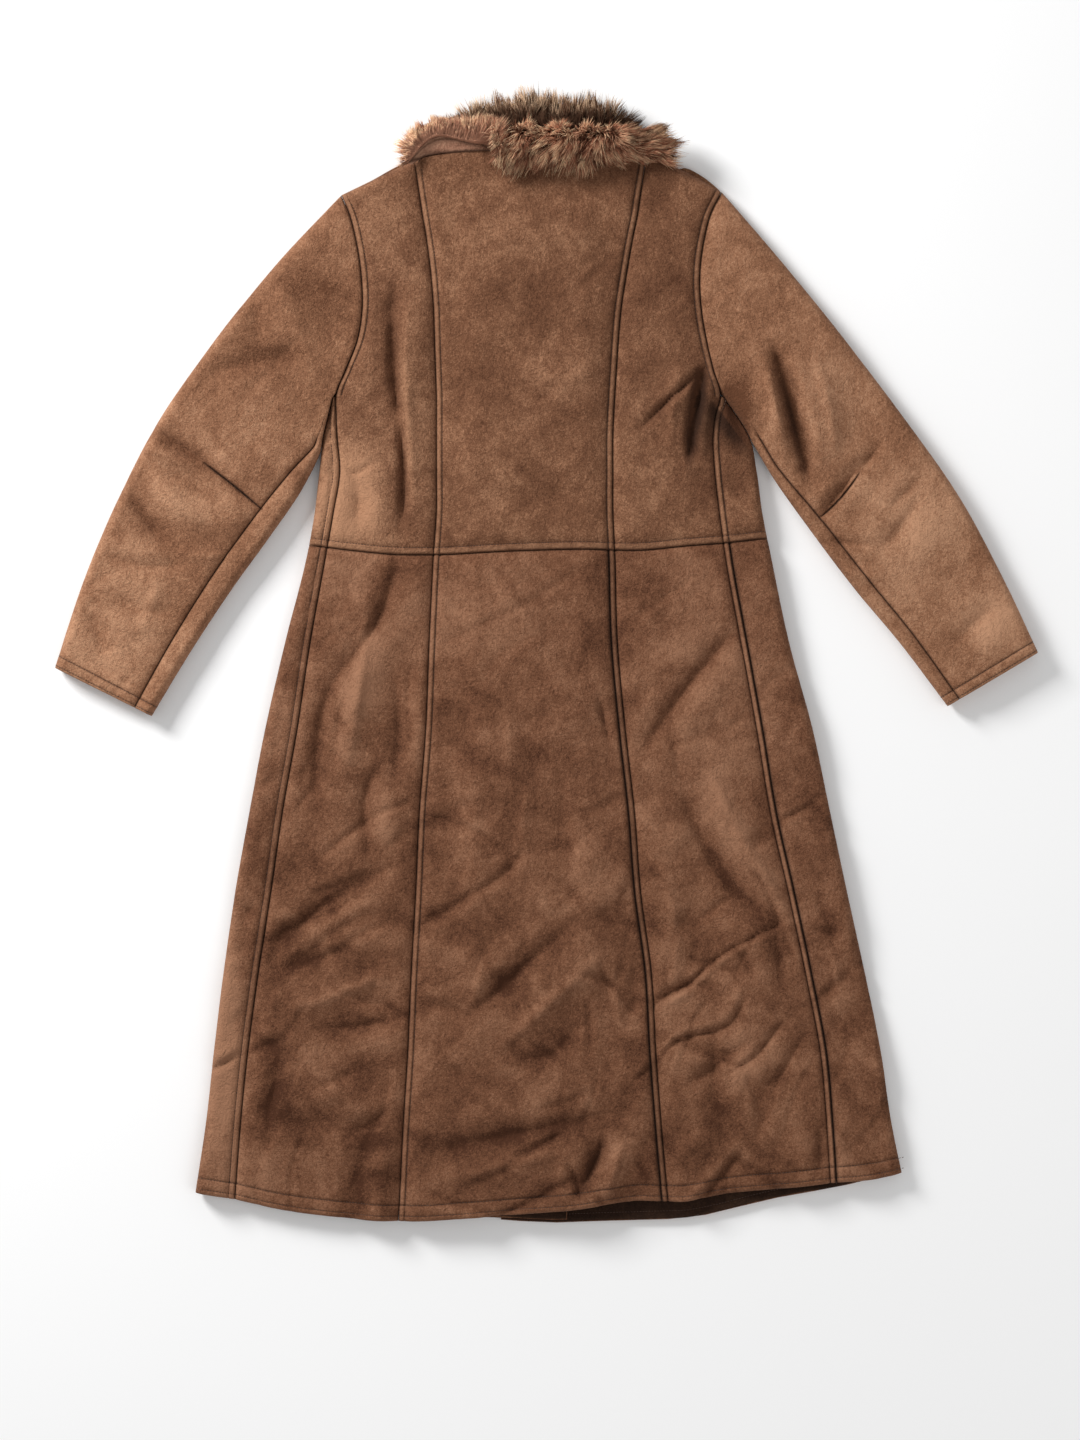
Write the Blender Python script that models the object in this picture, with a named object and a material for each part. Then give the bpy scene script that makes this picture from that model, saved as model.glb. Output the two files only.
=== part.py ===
"""Shearling coat laid face down, with its back up and its sleeves out to the sides.

Lengths in the tables are in millimetres. X runs across the coat, Y up to the collar and Z out of the
surface that the coat lies on. The origin is in the middle of the coat, on that surface.
"""
import math

import bmesh
import bpy
import numpy as np

MM = 0.001

# Walls: suede with its wool on the inside
FRONT_WALL = 8.0
LAYER_GAP = 0.6
BACK_WALL = 8.0
SLEEVE_WALL = 8.0
BACK_TOP = FRONT_WALL + LAYER_GAP + BACK_WALL
SEAM_GAP = 0.3
HALF_GAP = SEAM_GAP / 2.0

# Puffed panels between sunken seams
PUFF = 4.5
PUFF_REACH = 24.0
SEAM_SINK = 2.6
SEAM_SINK_WIDTH = 8.0
UNDERSIDE_FOLLOWS = 0.25
UNDERSIDE_MOST = 3.0

# Rolled edges, where the cloth turns under
BODY_ROLL = 11.0
SHOULDER_ROLL = 11.0
SLEEVE_OUTER_ROLL = 11.0
SLEEVE_INNER_ROLL = 9.2
SHOULDER_MEETS = BACK_TOP / 2.0
INNER_ROLL_LEAST = 0.6
ROLL_SHARE_MOST = 0.94
ROLL_LEVEL = 1e-6

# The fronts lap at the middle, the wearer's right one outermost
LEFT_FRONT_EDGE = 23.0
RIGHT_FRONT_EDGE = -51.0
LAP_WALL = 6.0
LAP_RISE = 2.0 * LAP_WALL + SEAM_GAP - FRONT_WALL
LAP_TOP_END = 482.0
LAP_TOP_FADE = 50.0
LAP_BACK_START = -108.0
LAP_BACK_RISE_RUN = 34.0
LAP_BACK_END = 74.0
LAP_BACK_FALL_RUN = 36.0
RIGHT_THIN_START = 66.0
RIGHT_THIN_RUN = 36.0
LEFT_LIFT_START = -84.0
LEFT_LIFT_RUN = 27.0
LEFT_HEM_START = -90.0
LEFT_HEM_RUN = 40.0
LEFT_UNDERNEATH_STOPS = (-112.0, -84.0, -57.0, -20.0)
RIGHT_UNDERNEATH_STOPS = (112.0, 70.0, 27.0, -10.0)

# Hem facings, sewn inside the fronts
FACING_WALL = 1.5
FACING_WIDTH = 30.0
FACING_INSET = 1.0
FACING_CLEAR = 5.0
FACING_FADE = 8.0
FACING_STEP_LEAST = 4.0
FACING_EDGE_INSET = 1.0
RIGHT_FACING_END = 352.0
LEFT_FACING_START = -52.0

ARMPIT = 293.0
ARMPIT_CLEAR = 1.6
ARMPIT_CORNER = 296.0

SEAM_NAMES = ("y", "left_edge", "left_side", "left_princess", "right_princess", "right_side", "right_edge")
SEAM_ROWS = (
    (-600, -393, -348, -164, 135, 318, 403),
    (-520, -381, -342, -160, 128, 313, 386),
    (-440, -372, -334, -155, 122, 306, 374),
    (-350, -361, -322, -151, 117, 289, 356),
    (-260, -348, -308, -146, 105, 270, 336),
    (-170, -332, -295, -142, 98, 250, 317),
    (-80, -315, -279, -135, 88, 235, 298),
    (20, -292, -264, -131, 79, 217, 271),
    (120, -267, -246, -126, 76, 199, 250),
    (165, -259, -238, -123, 74, 193, 241),
    (210, -254, -231, -123, 74, 188, 235),
    (250, -249, -234, -123, 74, 186, 226),
    (275, -243, -235, -123, 75, 189, 211),
    (293, -239, -236, -123, 76, 194, 198),
    (325, -239, -224, -124, 78, 186, 198),
    (355, -239, -212, -125, 80, 179, 198),
    (390, -239, -206, -126, 83, 173, 198),
    (430, -239, -207, -129, 89, 171, 198),
    (470, -239, -213, -134, 96, 176, 198),
    (500, -239, -221, -139, 102, 184, 198),
    (520, -239, -230, -142, 105, 194, 198),
)

EDGE_NAMES = ("x", "y")
WAIST_SEAM = ((-267, 128), (-220, 122), (-163, 117), (-122, 117), (-37, 121), (43, 123), (104, 122),
              (158, 127), (198, 130), (250, 136))
BACK_HEM = ((-395, -595), (-347, -603), (-297, -614), (-247, -621), (-163, -627), (-74, -622), (32, -613),
            (105, -604), (150, -605), (198, -597), (278, -589), (324, -584), (373, -579), (403, -572))
FRONT_HEM = ((-395, -595), (-297, -606), (-163, -617), (-60, -626), (7, -630), (60, -628), (127, -626),
             (155, -625), (188, -619), (231, -608), (283, -597), (322, -591), (361, -581), (403, -572))
LEFT_FRONT_LIFT = 4.0
TOP_EDGE = ((-230, 519), (-190, 538), (-150, 556), (-100, 565), (-35, 567), (40, 566), (100, 560),
            (145, 550), (170, 538), (196, 522))
FRONT_NECK = ((-230, 519), (-190, 538), (-150, 556), (-110, 520), (-60, 470), (-20, 450), (30, 450),
              (60, 470), (105, 520), (145, 550), (170, 538), (196, 522))
NECK_LEFT = -150.0
NECK_RIGHT = 145.0
NECK_FADE = 12.0
HEM_GUESS = -600.0
WAIST_GUESS = 120.0
SHOULDER_GUESS = 520.0
EDGE_TRIES = 8

# Sleeves: along is 0 at the armhole and 1 at the cuff, under_strip is how far in the elbow seam lies
SLEEVE_NAMES = ("along", "outer_x", "outer_y", "inner_x", "inner_y", "under_strip")
LEFT_SLEEVE = (
    (0.00, -229, 519, -246, 297, 10),
    (0.17, -303, 440, -259, 239, 11),
    (0.34, -375, 350, -275, 188, 24),
    (0.50, -432, 268, -310, 136, 27),
    (0.67, -478, 180, -352, 78, 26),
    (0.84, -518, 85, -398, 8, 24),
    (1.00, -549, -9, -441, -63, 21),
)
RIGHT_SLEEVE = (
    (0.00, 196, 523, 202, 298, 10),
    (0.17, 275, 430, 237, 249, 10),
    (0.34, 345, 342, 260, 198, 12),
    (0.50, 405, 262, 298, 140, 17),
    (0.67, 462, 180, 345, 78, 18),
    (0.84, 508, 95, 396, 17, 17),
    (1.00, 549, 8, 448, -52, 15),
)
SLEEVE_LENGTH = 600.0
SLEEVE_RISE = 4.0
SLEEVE_SLOT = 2.8
ARMHOLE_EASE_END = 0.45
UNDER_START = 0.11
UNDER_START_GAP = 0.002
FOREARM_SEAM = 0.5
SLOPE_LEAST = 0.3
SLOPE_STEP = 0.03
SLEEVE_RISE_END = 0.3
SLEEVE_SLOT_END = 0.2
SLEEVE_SEAM_INSET = 1.0
SLEEVE_ROLL_INSET = 0.8
FIRST_COLUMN_STEP = 3.0
LAST_COLUMN_STEP = 6.0

# Folds and creases: three points of each, its half width, and its height, with troughs below zero
FOLD_NAMES = ("start_x", "start_y", "bend_x", "bend_y", "end_x", "end_y", "half_width", "height")
FOLDS = (
    # Upper back
    (-170, 420, -176, 330, -162, 260, 15, -5.0),
    (-156, 400, -157, 310, -152, 180, 15, 3.5),
    (-165, 260, -157, 200, -163, 140, 13, -4.5),
    (-215, 210, -205, 175, -212, 145, 11, -3.0),
    (176, 322, 164, 280, 158, 225, 12, -5.5),
    (178, 330, 145, 295, 115, 268, 12, -4.0),
    (150, 330, 140, 285, 138, 235, 12, 3.5),
    (60, 330, 20, 300, -30, 330, 30, 1.8),
    (-60, 480, 10, 455, 60, 480, 34, 1.8),
    (60, 190, 0, 170, -60, 190, 26, -1.8),
    # Left sleeve
    (-377, 318, -330, 335, -277, 338, 20, -3.5),
    (-467, 192, -440, 142, -405, 112, 15, -4.0),
    (-440, 215, -415, 175, -380, 150, 16, 3.5),
    (-508, 50, -500, 25, -490, 5, 16, -3.0),
    (-318, 167, -350, 194, -383, 220, 8, -4.0),
    (-300, 420, -270, 370, -262, 320, 26, 2.5),
    # Right sleeve
    (265, 332, 281, 266, 291, 205, 14, -6.0),
    (300, 335, 318, 275, 322, 225, 16, 4.0),
    (246, 320, 256, 280, 262, 240, 12, 3.5),
    (305, 158, 326, 186, 347, 212, 8, -4.0),
    (420, 190, 400, 150, 372, 120, 14, -3.0),
    (500, 60, 478, 40, 455, 20, 14, -3.0),
    # Left skirt
    (-166, 115, -178, 40, -233, -18, 13, -4.5),
    (-233, -18, -262, -60, -256, -165, 13, -4.5),
    (-200, 60, -205, -30, -222, -120, 17, 4.0),
    (-168, -18, -160, -85, -171, -137, 12, -3.5),
    (-187, -120, -214, -150, -196, -222, 12, -4.0),
    (-171, -230, -250, -270, -314, -320, 13, -4.5),
    (-219, -318, -260, -338, -295, -347, 11, -3.5),
    (-154, -396, -200, -412, -247, -413, 11, -3.5),
    (-180, -350, -230, -375, -290, -390, 15, 3.5),
    (-280, -430, -240, -470, -200, -520, 18, 2.5),
    # Middle skirt
    (32, -292, -30, -345, -95, -403, 14, -4.0),
    (60, -330, 0, -385, -60, -440, 16, 3.5),
    (-43, -418, -16, -480, 37, -408, 13, -3.5),
    (-130, -550, -20, -525, 86, -505, 14, -3.5),
    (-110, -580, -40, -560, 20, -548, 15, 3.0),
    (64, -531, 50, -570, 32, -601, 11, -6.0),
    (84, -540, 74, -575, 66, -600, 14, 4.0),
    (-60, 90, -10, 20, 40, -60, 30, 2.5),
    (-90, -120, -70, -200, -90, -280, 26, 2.5),
    (20, -120, 10, -180, 30, -240, 24, -2.5),
    # Right skirt
    (212, 34, 150, -30, 110, -101, 13, -4.5),
    (153, -152, 185, -236, 239, -288, 14, -5.0),
    (180, -120, 215, -200, 250, -250, 15, 4.0),
    (130, -220, 150, -300, 140, -380, 18, 3.0),
    (253, -292, 262, -330, 262, -370, 11, -3.0),
    (190, -400, 180, -470, 200, -540, 17, -3.0),
    (304, -521, 305, -550, 304, -575, 10, -3.5),
    (300, -260, 318, -290, 322, -320, 9, -3.0),
)
FOLD_STEPS = 6
FOLD_END_SHARE = 0.25
FOLD_FADE_POWER = 0.7

# Collar: the fur of its fall, by its lower and upper edge, and its depth over what it lies on
FALL_NAMES = ("x", "lower", "upper", "depth")
COLLAR_FALL = (
    (-163, 551, 558, 6),
    (-157, 553, 572, 14),
    (-148, 560, 586, 18),
    (-136, 571, 601, 20),
    (-120, 579, 606, 21),
    (-102, 579, 606, 22),
    (-83, 576, 602, 23),
    (-65, 569, 599, 24),
    (-50, 554, 597, 25),
    (-38, 541, 596, 26),
    (-25, 534, 595, 26),
    (-7, 541, 594, 26),
    (20, 541, 593, 26),
    (48, 539, 593, 26),
    (72, 540, 595, 25),
    (92, 547, 598, 24),
    (113, 553, 597, 22),
    (128, 550, 585, 19),
    (140, 548, 574, 15),
    (149, 550, 563, 6),
)
FALL_EDGE = 5.0
INNER_NAMES = ("x", "upper")
COLLAR_INNER = ((-118, 592), (-106, 611), (-76, 621), (-50, 625), (-13, 632), (15, 628), (46, 626),
                (64, 624), (81, 613), (98, 596))
INNER_LOWER = 569.0
INNER_DEPTH = 21.0
INNER_EDGE_DEPTH = 7.0
INNER_END_EASE = 30.0
INNER_END_START = 8.0
UNDERCOLLAR_NAMES = ("x", "upper")
UNDERCOLLAR = ((-148, 571), (-136, 580), (-120, 586), (-102, 586), (-83, 584), (-65, 580), (-52, 576))
UNDERCOLLAR_LOWER = 567.9
UNDERCOLLAR_WALL = 2.5
UNDERCOLLAR_SLOPE = 2.0
COLLAR_CLEAR = 0.4
OVER_INNER_START = 552.0
OVER_INNER_RUN = 12.0
OVER_UNDERCOLLAR_LEFT = -172.0
OVER_UNDERCOLLAR_LEFT_RUN = 10.0
OVER_UNDERCOLLAR_RIGHT = -30.0
OVER_UNDERCOLLAR_RIGHT_RUN = 12.0
OVER_UNDERCOLLAR_LOWER = 545.0
OVER_UNDERCOLLAR_LOWER_RUN = 8.0

# Grid steps
HEM_ROWS = (0.0, 8.0, 22.0, 33.5, 44.0)
SKIRT_LENGTH = 730.0
SKIRT_ROWS = 20
BODICE_LOW_ROWS = 7
BODICE_HIGH_ROWS = 8
SLEEVE_START_ROWS = 3
SLEEVE_ROWS = 15
MIDDLE_COLUMNS = 12
SIDE_COLUMNS = 6
BODICE_MIDDLE_COLUMNS = 9
BODICE_SIDE_COLUMNS = 5
STRIP_COLUMNS = 2
ROLL_STEPS = 4
INNER_TURNS = (76.0, 45.0, 0.0, -45.0, -76.0)
SHOULDER_STEPS = 2
UNDERNEATH_COLUMNS = 5
FALL_STATIONS = 27
FALL_STEPS = 7
INNER_STATIONS = 17
INNER_STEPS = 4
UNDERCOLLAR_STATIONS = 13
UNDERCOLLAR_STEPS = 3
COLLAR_GATHER = 0.5

# Finishes: colour, roughness
SUEDE_UPPER = ((0.205, 0.096, 0.053), 0.86)
SUEDE_SKIRT = ((0.165, 0.073, 0.041), 0.88)
SUEDE_SLEEVE = ((0.265, 0.126, 0.072), 0.86)
SUEDE_FACING = ((0.034, 0.017, 0.010), 0.90)
SUEDE_UNDERCOLLAR = ((0.225, 0.106, 0.061), 0.86)
FUR_FALL = ((0.185, 0.088, 0.052), 0.95)
FUR_INNER = ((0.062, 0.034, 0.022), 0.95)


def column(rows, names, name):
    """Return one named column of a table."""
    return np.array([row[names.index(name)] for row in rows], dtype=float)


class Curve:
    """Smooth curve through a table's rows, straight beyond its ends."""

    def __init__(self, rows, names, along, value):
        self.along = column(rows, names, along)
        self.value = column(rows, names, value)
        self.slope = np.gradient(self.value, self.along)

    def __call__(self, at):
        at = np.asarray(at, dtype=float)
        inside = np.clip(at, self.along[0], self.along[-1])
        place = np.clip(np.searchsorted(self.along, inside) - 1, 0, len(self.along) - 2)
        step = self.along[place + 1] - self.along[place]
        part = (inside - self.along[place]) / step
        start = (1.0 + 2.0 * part) * (1.0 - part) ** 2 * self.value[place]
        leave = part * (1.0 - part) ** 2 * step * self.slope[place]
        end = part ** 2 * (3.0 - 2.0 * part) * self.value[place + 1]
        arrive = part ** 2 * (part - 1.0) * step * self.slope[place + 1]
        beyond = (at - inside) * np.where(at < self.along[0], self.slope[0], self.slope[-1])
        return start + leave + end + arrive + beyond


def smooth(part):
    """Ease from 0 to 1."""
    part = np.clip(part, 0.0, 1.0)
    return part * part * (3.0 - 2.0 * part)


def spread(steps, gather=0.45):
    """Return places from 0 to 1, closer together at both ends."""
    even = np.linspace(0.0, 1.0, steps + 1)
    return (1.0 - gather) * even + gather * (0.5 - 0.5 * np.cos(math.pi * even))


def skirt_places():
    """Return the skirt's rows as shares of its length, with rows of their own at the hem."""
    hem = np.array(HEM_ROWS) / SKIRT_LENGTH
    return np.concatenate([hem[:-1], hem[-1] + (1.0 - hem[-1]) * spread(SKIRT_ROWS, 0.15)])


SEAMS = {name: Curve(SEAM_ROWS, SEAM_NAMES, "y", name) for name in SEAM_NAMES[1:]}
WAIST = Curve(WAIST_SEAM, EDGE_NAMES, "x", "y")
HEM_AT_BACK = Curve(BACK_HEM, EDGE_NAMES, "x", "y")
HEM_AT_FRONT = Curve(FRONT_HEM, EDGE_NAMES, "x", "y")
TOP_AT_BACK = Curve(TOP_EDGE, EDGE_NAMES, "x", "y")
TOP_AT_FRONT = Curve(FRONT_NECK, EDGE_NAMES, "x", "y")


def fold_height(x, y):
    """Add up the folds at each point."""
    total = np.zeros_like(x)
    for row in FOLDS:
        fold = dict(zip(FOLD_NAMES, row))
        part = np.linspace(0.0, 1.0, FOLD_STEPS + 1)
        line_x = ((1 - part) ** 2 * fold["start_x"] + 2 * part * (1 - part) * fold["bend_x"]
                  + part ** 2 * fold["end_x"])
        line_y = ((1 - part) ** 2 * fold["start_y"] + 2 * part * (1 - part) * fold["bend_y"]
                  + part ** 2 * fold["end_y"])
        nearest = np.full(x.shape, 1e9)
        along = np.zeros_like(x)
        for step in range(FOLD_STEPS):
            run_x = line_x[step + 1] - line_x[step]
            run_y = line_y[step + 1] - line_y[step]
            share = ((x - line_x[step]) * run_x + (y - line_y[step]) * run_y) / (run_x ** 2 + run_y ** 2)
            share = np.clip(share, 0.0, 1.0)
            away = np.hypot(x - line_x[step] - share * run_x, y - line_y[step] - share * run_y)
            closer = away < nearest
            nearest = np.where(closer, away, nearest)
            along = np.where(closer, (step + share) / FOLD_STEPS, along)
        fade = FOLD_END_SHARE + (1.0 - FOLD_END_SHARE) * np.sin(math.pi * along) ** FOLD_FADE_POWER
        total += fold["height"] * fade * np.exp(-(nearest / fold["half_width"]) ** 2)
    return total


def seam_relief(distance):
    """Height of a panel at a distance from its nearest seam: sunk at the seam, puffed away from it."""
    puffed = PUFF * (1.0 - np.exp(-distance / PUFF_REACH))
    sunk = SEAM_SINK * np.exp(-(distance / SEAM_SINK_WIDTH) ** 2)
    return puffed - sunk


def lap_rise(x, y):
    """Rise of the back over the lapped fronts."""
    left = smooth((x - LAP_BACK_START) / LAP_BACK_RISE_RUN)
    right = smooth((LAP_BACK_END - x) / LAP_BACK_FALL_RUN)
    return LAP_RISE * left * right * smooth((LAP_TOP_END + LAP_TOP_FADE - y) / LAP_TOP_FADE)


def body_relief(x, y):
    """Height of the body's upper face over its plain level."""
    distance = np.abs(y - WAIST(x))
    for name in ("left_side", "left_princess", "right_princess", "right_side"):
        distance = np.minimum(distance, np.abs(x - SEAMS[name](y)))
    return seam_relief(distance) + fold_height(x, y)


def body_top(x, y):
    """Height of the body's upper face."""
    return BACK_TOP + lap_rise(x, y) + body_relief(x, y)


def follow(relief):
    """Rise of an upper wall's underside, a small share of the relief above it."""
    return np.clip(UNDERSIDE_FOLLOWS * (relief + SEAM_SINK), 0.0, UNDERSIDE_MOST)


def body_under(x, y):
    """Height of the back's underside."""
    return FRONT_WALL + LAYER_GAP + lap_rise(x, y) + follow(body_relief(x, y))


def shoulder_share(x):
    """1 where the top edge is a rolled shoulder, 0 where it is the open neck."""
    left = smooth((NECK_LEFT + NECK_FADE - x) / NECK_FADE)
    right = smooth((x - NECK_RIGHT + NECK_FADE) / NECK_FADE)
    return np.maximum(left, right)


def solid(name, outer, inner, finish, parent, active=None):
    """Make one closed wall between two grids of points, with a rim round its active cells.

    Where active has as many columns as the grid, the last column joins the first one.
    """
    rows, columns = outer.shape[:2]
    if active is None:
        active = np.ones((rows - 1, columns - 1), dtype=bool)
    centre = np.round(0.5 * (outer.reshape(-1, 3).min(axis=0) + outer.reshape(-1, 3).max(axis=0)))
    shape = bmesh.new()
    made = {}

    def vertex(face, row, place):
        key = (face, row, place)
        if key not in made:
            point = (outer if face == 0 else inner)[row, place] - centre
            made[key] = shape.verts.new([value * MM for value in point])
        return made[key]

    edges = {}
    for row in range(rows - 1):
        for place in range(active.shape[1]):
            if not active[row, place]:
                continue
            beside = (place + 1) % columns
            ring = ((row, place), (row, beside), (row + 1, beside), (row + 1, place))
            shape.faces.new([vertex(0, *corner) for corner in ring])
            shape.faces.new([vertex(1, *corner) for corner in reversed(ring)])
            for start, end in zip(ring, ring[1:] + ring[:1]):
                edges[(start, end)] = (end, start) not in edges
                if (end, start) in edges:
                    edges[(end, start)] = False
    for (start, end), open_edge in edges.items():
        if open_edge:
            shape.faces.new([vertex(0, *end), vertex(0, *start), vertex(1, *start), vertex(1, *end)])
    bmesh.ops.recalc_face_normals(shape, faces=shape.faces)
    mesh = bpy.data.meshes.new(name)
    shape.to_mesh(mesh)
    shape.free()
    piece = bpy.data.objects.new(name, mesh)
    bpy.context.scene.collection.objects.link(piece)
    piece.location = [value * MM for value in centre]
    piece.parent = parent
    colour, roughness = finish
    material = bpy.data.materials.new(name)
    material.use_nodes = True
    shader = material.node_tree.nodes["Principled BSDF"]
    shader.inputs["Base Color"].default_value = (*colour, 1.0)
    shader.inputs["Roughness"].default_value = roughness
    shader.inputs["Metallic"].default_value = 0.0
    mesh.materials.append(material)
    return piece


def end_heights(across, edge, start):
    """Find where each column meets an edge."""
    height = start
    for _ in range(EDGE_TRIES):
        height = edge(across(height))
    return height


def between(left, right, places):
    """Return the function that gives each column's x at its height, between two seams."""

    def across(height):
        low = SEAMS[left](height) + HALF_GAP
        high = SEAMS[right](height) - HALF_GAP
        return low + (high - low) * places

    return across


def back_skirt(name, left, right, columns, parent):
    """Make one skirt panel of the back, from hem to waist."""
    places = spread(columns)
    across = between(left, right, places)
    low = end_heights(across, HEM_AT_BACK, np.full(len(places), HEM_GUESS))
    high = end_heights(across, WAIST, np.full(len(places), WAIST_GUESS)) - HALF_GAP
    y = low + (high - low) * skirt_places()[:, None]
    x = np.array([across(row) for row in y])
    outer = np.stack([x, y, body_top(x, y)], axis=2)
    inner = np.stack([x, y, body_under(x, y)], axis=2)
    return solid(name, outer, inner, SUEDE_SKIRT, parent)


def bodice_rows(low, high):
    """Return the heights and roll angles of a bodice panel's rows: to the armpit, up, then on the roll."""
    under = low + (ARMPIT - low) * np.linspace(0.0, 1.0, BODICE_LOW_ROWS + 1)[:, None]
    above = ARMPIT + (high - SHOULDER_ROLL - ARMPIT) * np.linspace(0.0, 1.0, BODICE_HIGH_ROWS + 1)[1:, None]
    turn = np.linspace(90.0, 0.0, SHOULDER_STEPS + 1)[1:]
    rolled = high - SHOULDER_ROLL * (1.0 - np.cos(np.radians(turn)))[:, None]
    angles = np.concatenate([np.full(len(under) + len(above), 90.0), turn])
    return np.vstack([under, above, rolled]), np.radians(angles)[:, None]


def side_heights(side):
    """Return the heights of the bodice rows on one side seam and its armhole."""
    low = end_heights(SEAMS[side], WAIST, np.array([WAIST_GUESS])) + HALF_GAP
    high = end_heights(SEAMS[side], TOP_AT_BACK, np.array([SHOULDER_GUESS]))
    return bodice_rows(low, high)[0][:, 0]


def back_bodice(name, left, right, columns, parent):
    """Make one upper panel of the back, from waist to shoulder or neck."""
    places = spread(columns)
    across = between(left, right, places)
    low = end_heights(across, WAIST, np.full(len(places), WAIST_GUESS)) + HALF_GAP
    high = end_heights(across, TOP_AT_BACK, np.full(len(places), SHOULDER_GUESS))
    y, angle = bodice_rows(low, high)
    x = np.array([across(row) for row in y])
    top = body_top(x, y)
    under = body_under(x, y)
    share = shoulder_share(x)
    meets = SHOULDER_MEETS + HALF_GAP
    rolled_top = meets + (top - meets) * np.sin(angle)
    rolled_under = meets + (under - meets) * np.sin(angle)
    inner_drop = SHOULDER_ROLL - (SHOULDER_ROLL - BACK_WALL) * np.cos(angle)
    in_roll = angle < math.pi / 2.0 - ROLL_LEVEL
    inner_y = np.where(in_roll, share * (high - inner_drop) + (1.0 - share) * y, y)
    inner_x = np.array([across(row) for row in inner_y])
    outer = np.stack([x, y, share * rolled_top + (1.0 - share) * top], axis=2)
    inner = np.stack([inner_x, inner_y, share * rolled_under + (1.0 - share) * under], axis=2)
    return solid(name, outer, inner, SUEDE_UPPER, parent)


def wrap_columns(side, edge, sign):
    """Return the columns of a front: strip on the upper side, rolled edge, then the wall underneath.

    Each column's x at its height comes from a function, for the outer and for the inner face.
    turn is the angle on the roll, 90 on the upper side and -90 underneath.
    """
    strip = np.linspace(0.0, 1.0, STRIP_COLUMNS + 1)
    turn = np.linspace(90.0, -90.0, ROLL_STEPS + 1)[1:-1]
    lap_start = LEFT_FRONT_EDGE if sign < 0 else RIGHT_FRONT_EDGE
    stations = np.array(LEFT_UNDERNEATH_STOPS if sign < 0 else RIGHT_UNDERNEATH_STOPS)
    under = np.linspace(0.0, 1.0, UNDERNEATH_COLUMNS + 1)[:-1]
    count = len(strip) + len(turn) + len(under) + len(stations) + 1
    angles = np.concatenate([np.full(len(strip), 90.0), turn,
                             np.full(count - len(strip) - len(turn), -90.0)])
    radians = np.radians(angles)

    def across(height, face):
        seam = SEAMS[side](height) + sign * HALF_GAP
        outline = SEAMS[edge](height)
        roll = np.minimum(BODY_ROLL, ROLL_SHARE_MOST * np.abs(outline - seam))
        inner_roll = np.maximum(roll - FRONT_WALL, INNER_ROLL_LEAST)
        radius = roll if face == 0 else inner_roll
        x = outline - sign * (roll - radius * np.cos(radians))
        start = len(strip)
        foot = outline - sign * roll
        x[:start] = (seam + (foot - seam) * np.append(strip, np.zeros(count - start)))[:start]
        begin = start + len(turn)
        run = np.zeros(count)
        run[begin:begin + len(under)] = under
        x[begin:begin + len(under)] = (foot + (stations[0] - foot) * run)[begin:begin + len(under)]
        x[begin + len(under):-1] = stations
        x[-1] = lap_start
        return x

    return across, radians, len(strip) + len(turn)


def hem_of_front(x, sign):
    """Height of a front's hem underneath, a little higher on the left front's lap."""
    lift = LEFT_FRONT_LIFT * smooth((x - LEFT_HEM_START) / LEFT_HEM_RUN)
    return HEM_AT_FRONT(x) + (lift if sign < 0 else 0.0)


def front_under_faces(x, sign, hem_distance):
    """Heights of a front's lower and upper face where it lies underneath."""
    if sign > 0:
        low = np.zeros_like(x)
        high = FRONT_WALL - (FRONT_WALL - LAP_WALL) * smooth((RIGHT_THIN_START - x) / RIGHT_THIN_RUN)
    else:
        lift = smooth((x - LEFT_LIFT_START) / LEFT_LIFT_RUN)
        low = (LAP_WALL + SEAM_GAP) * lift
        high = FRONT_WALL + LAP_RISE * lift
    facing = smooth((FACING_WIDTH + FACING_CLEAR + FACING_FADE - hem_distance) / FACING_FADE)
    return low, high - (FACING_WALL + SEAM_GAP) * facing


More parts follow.
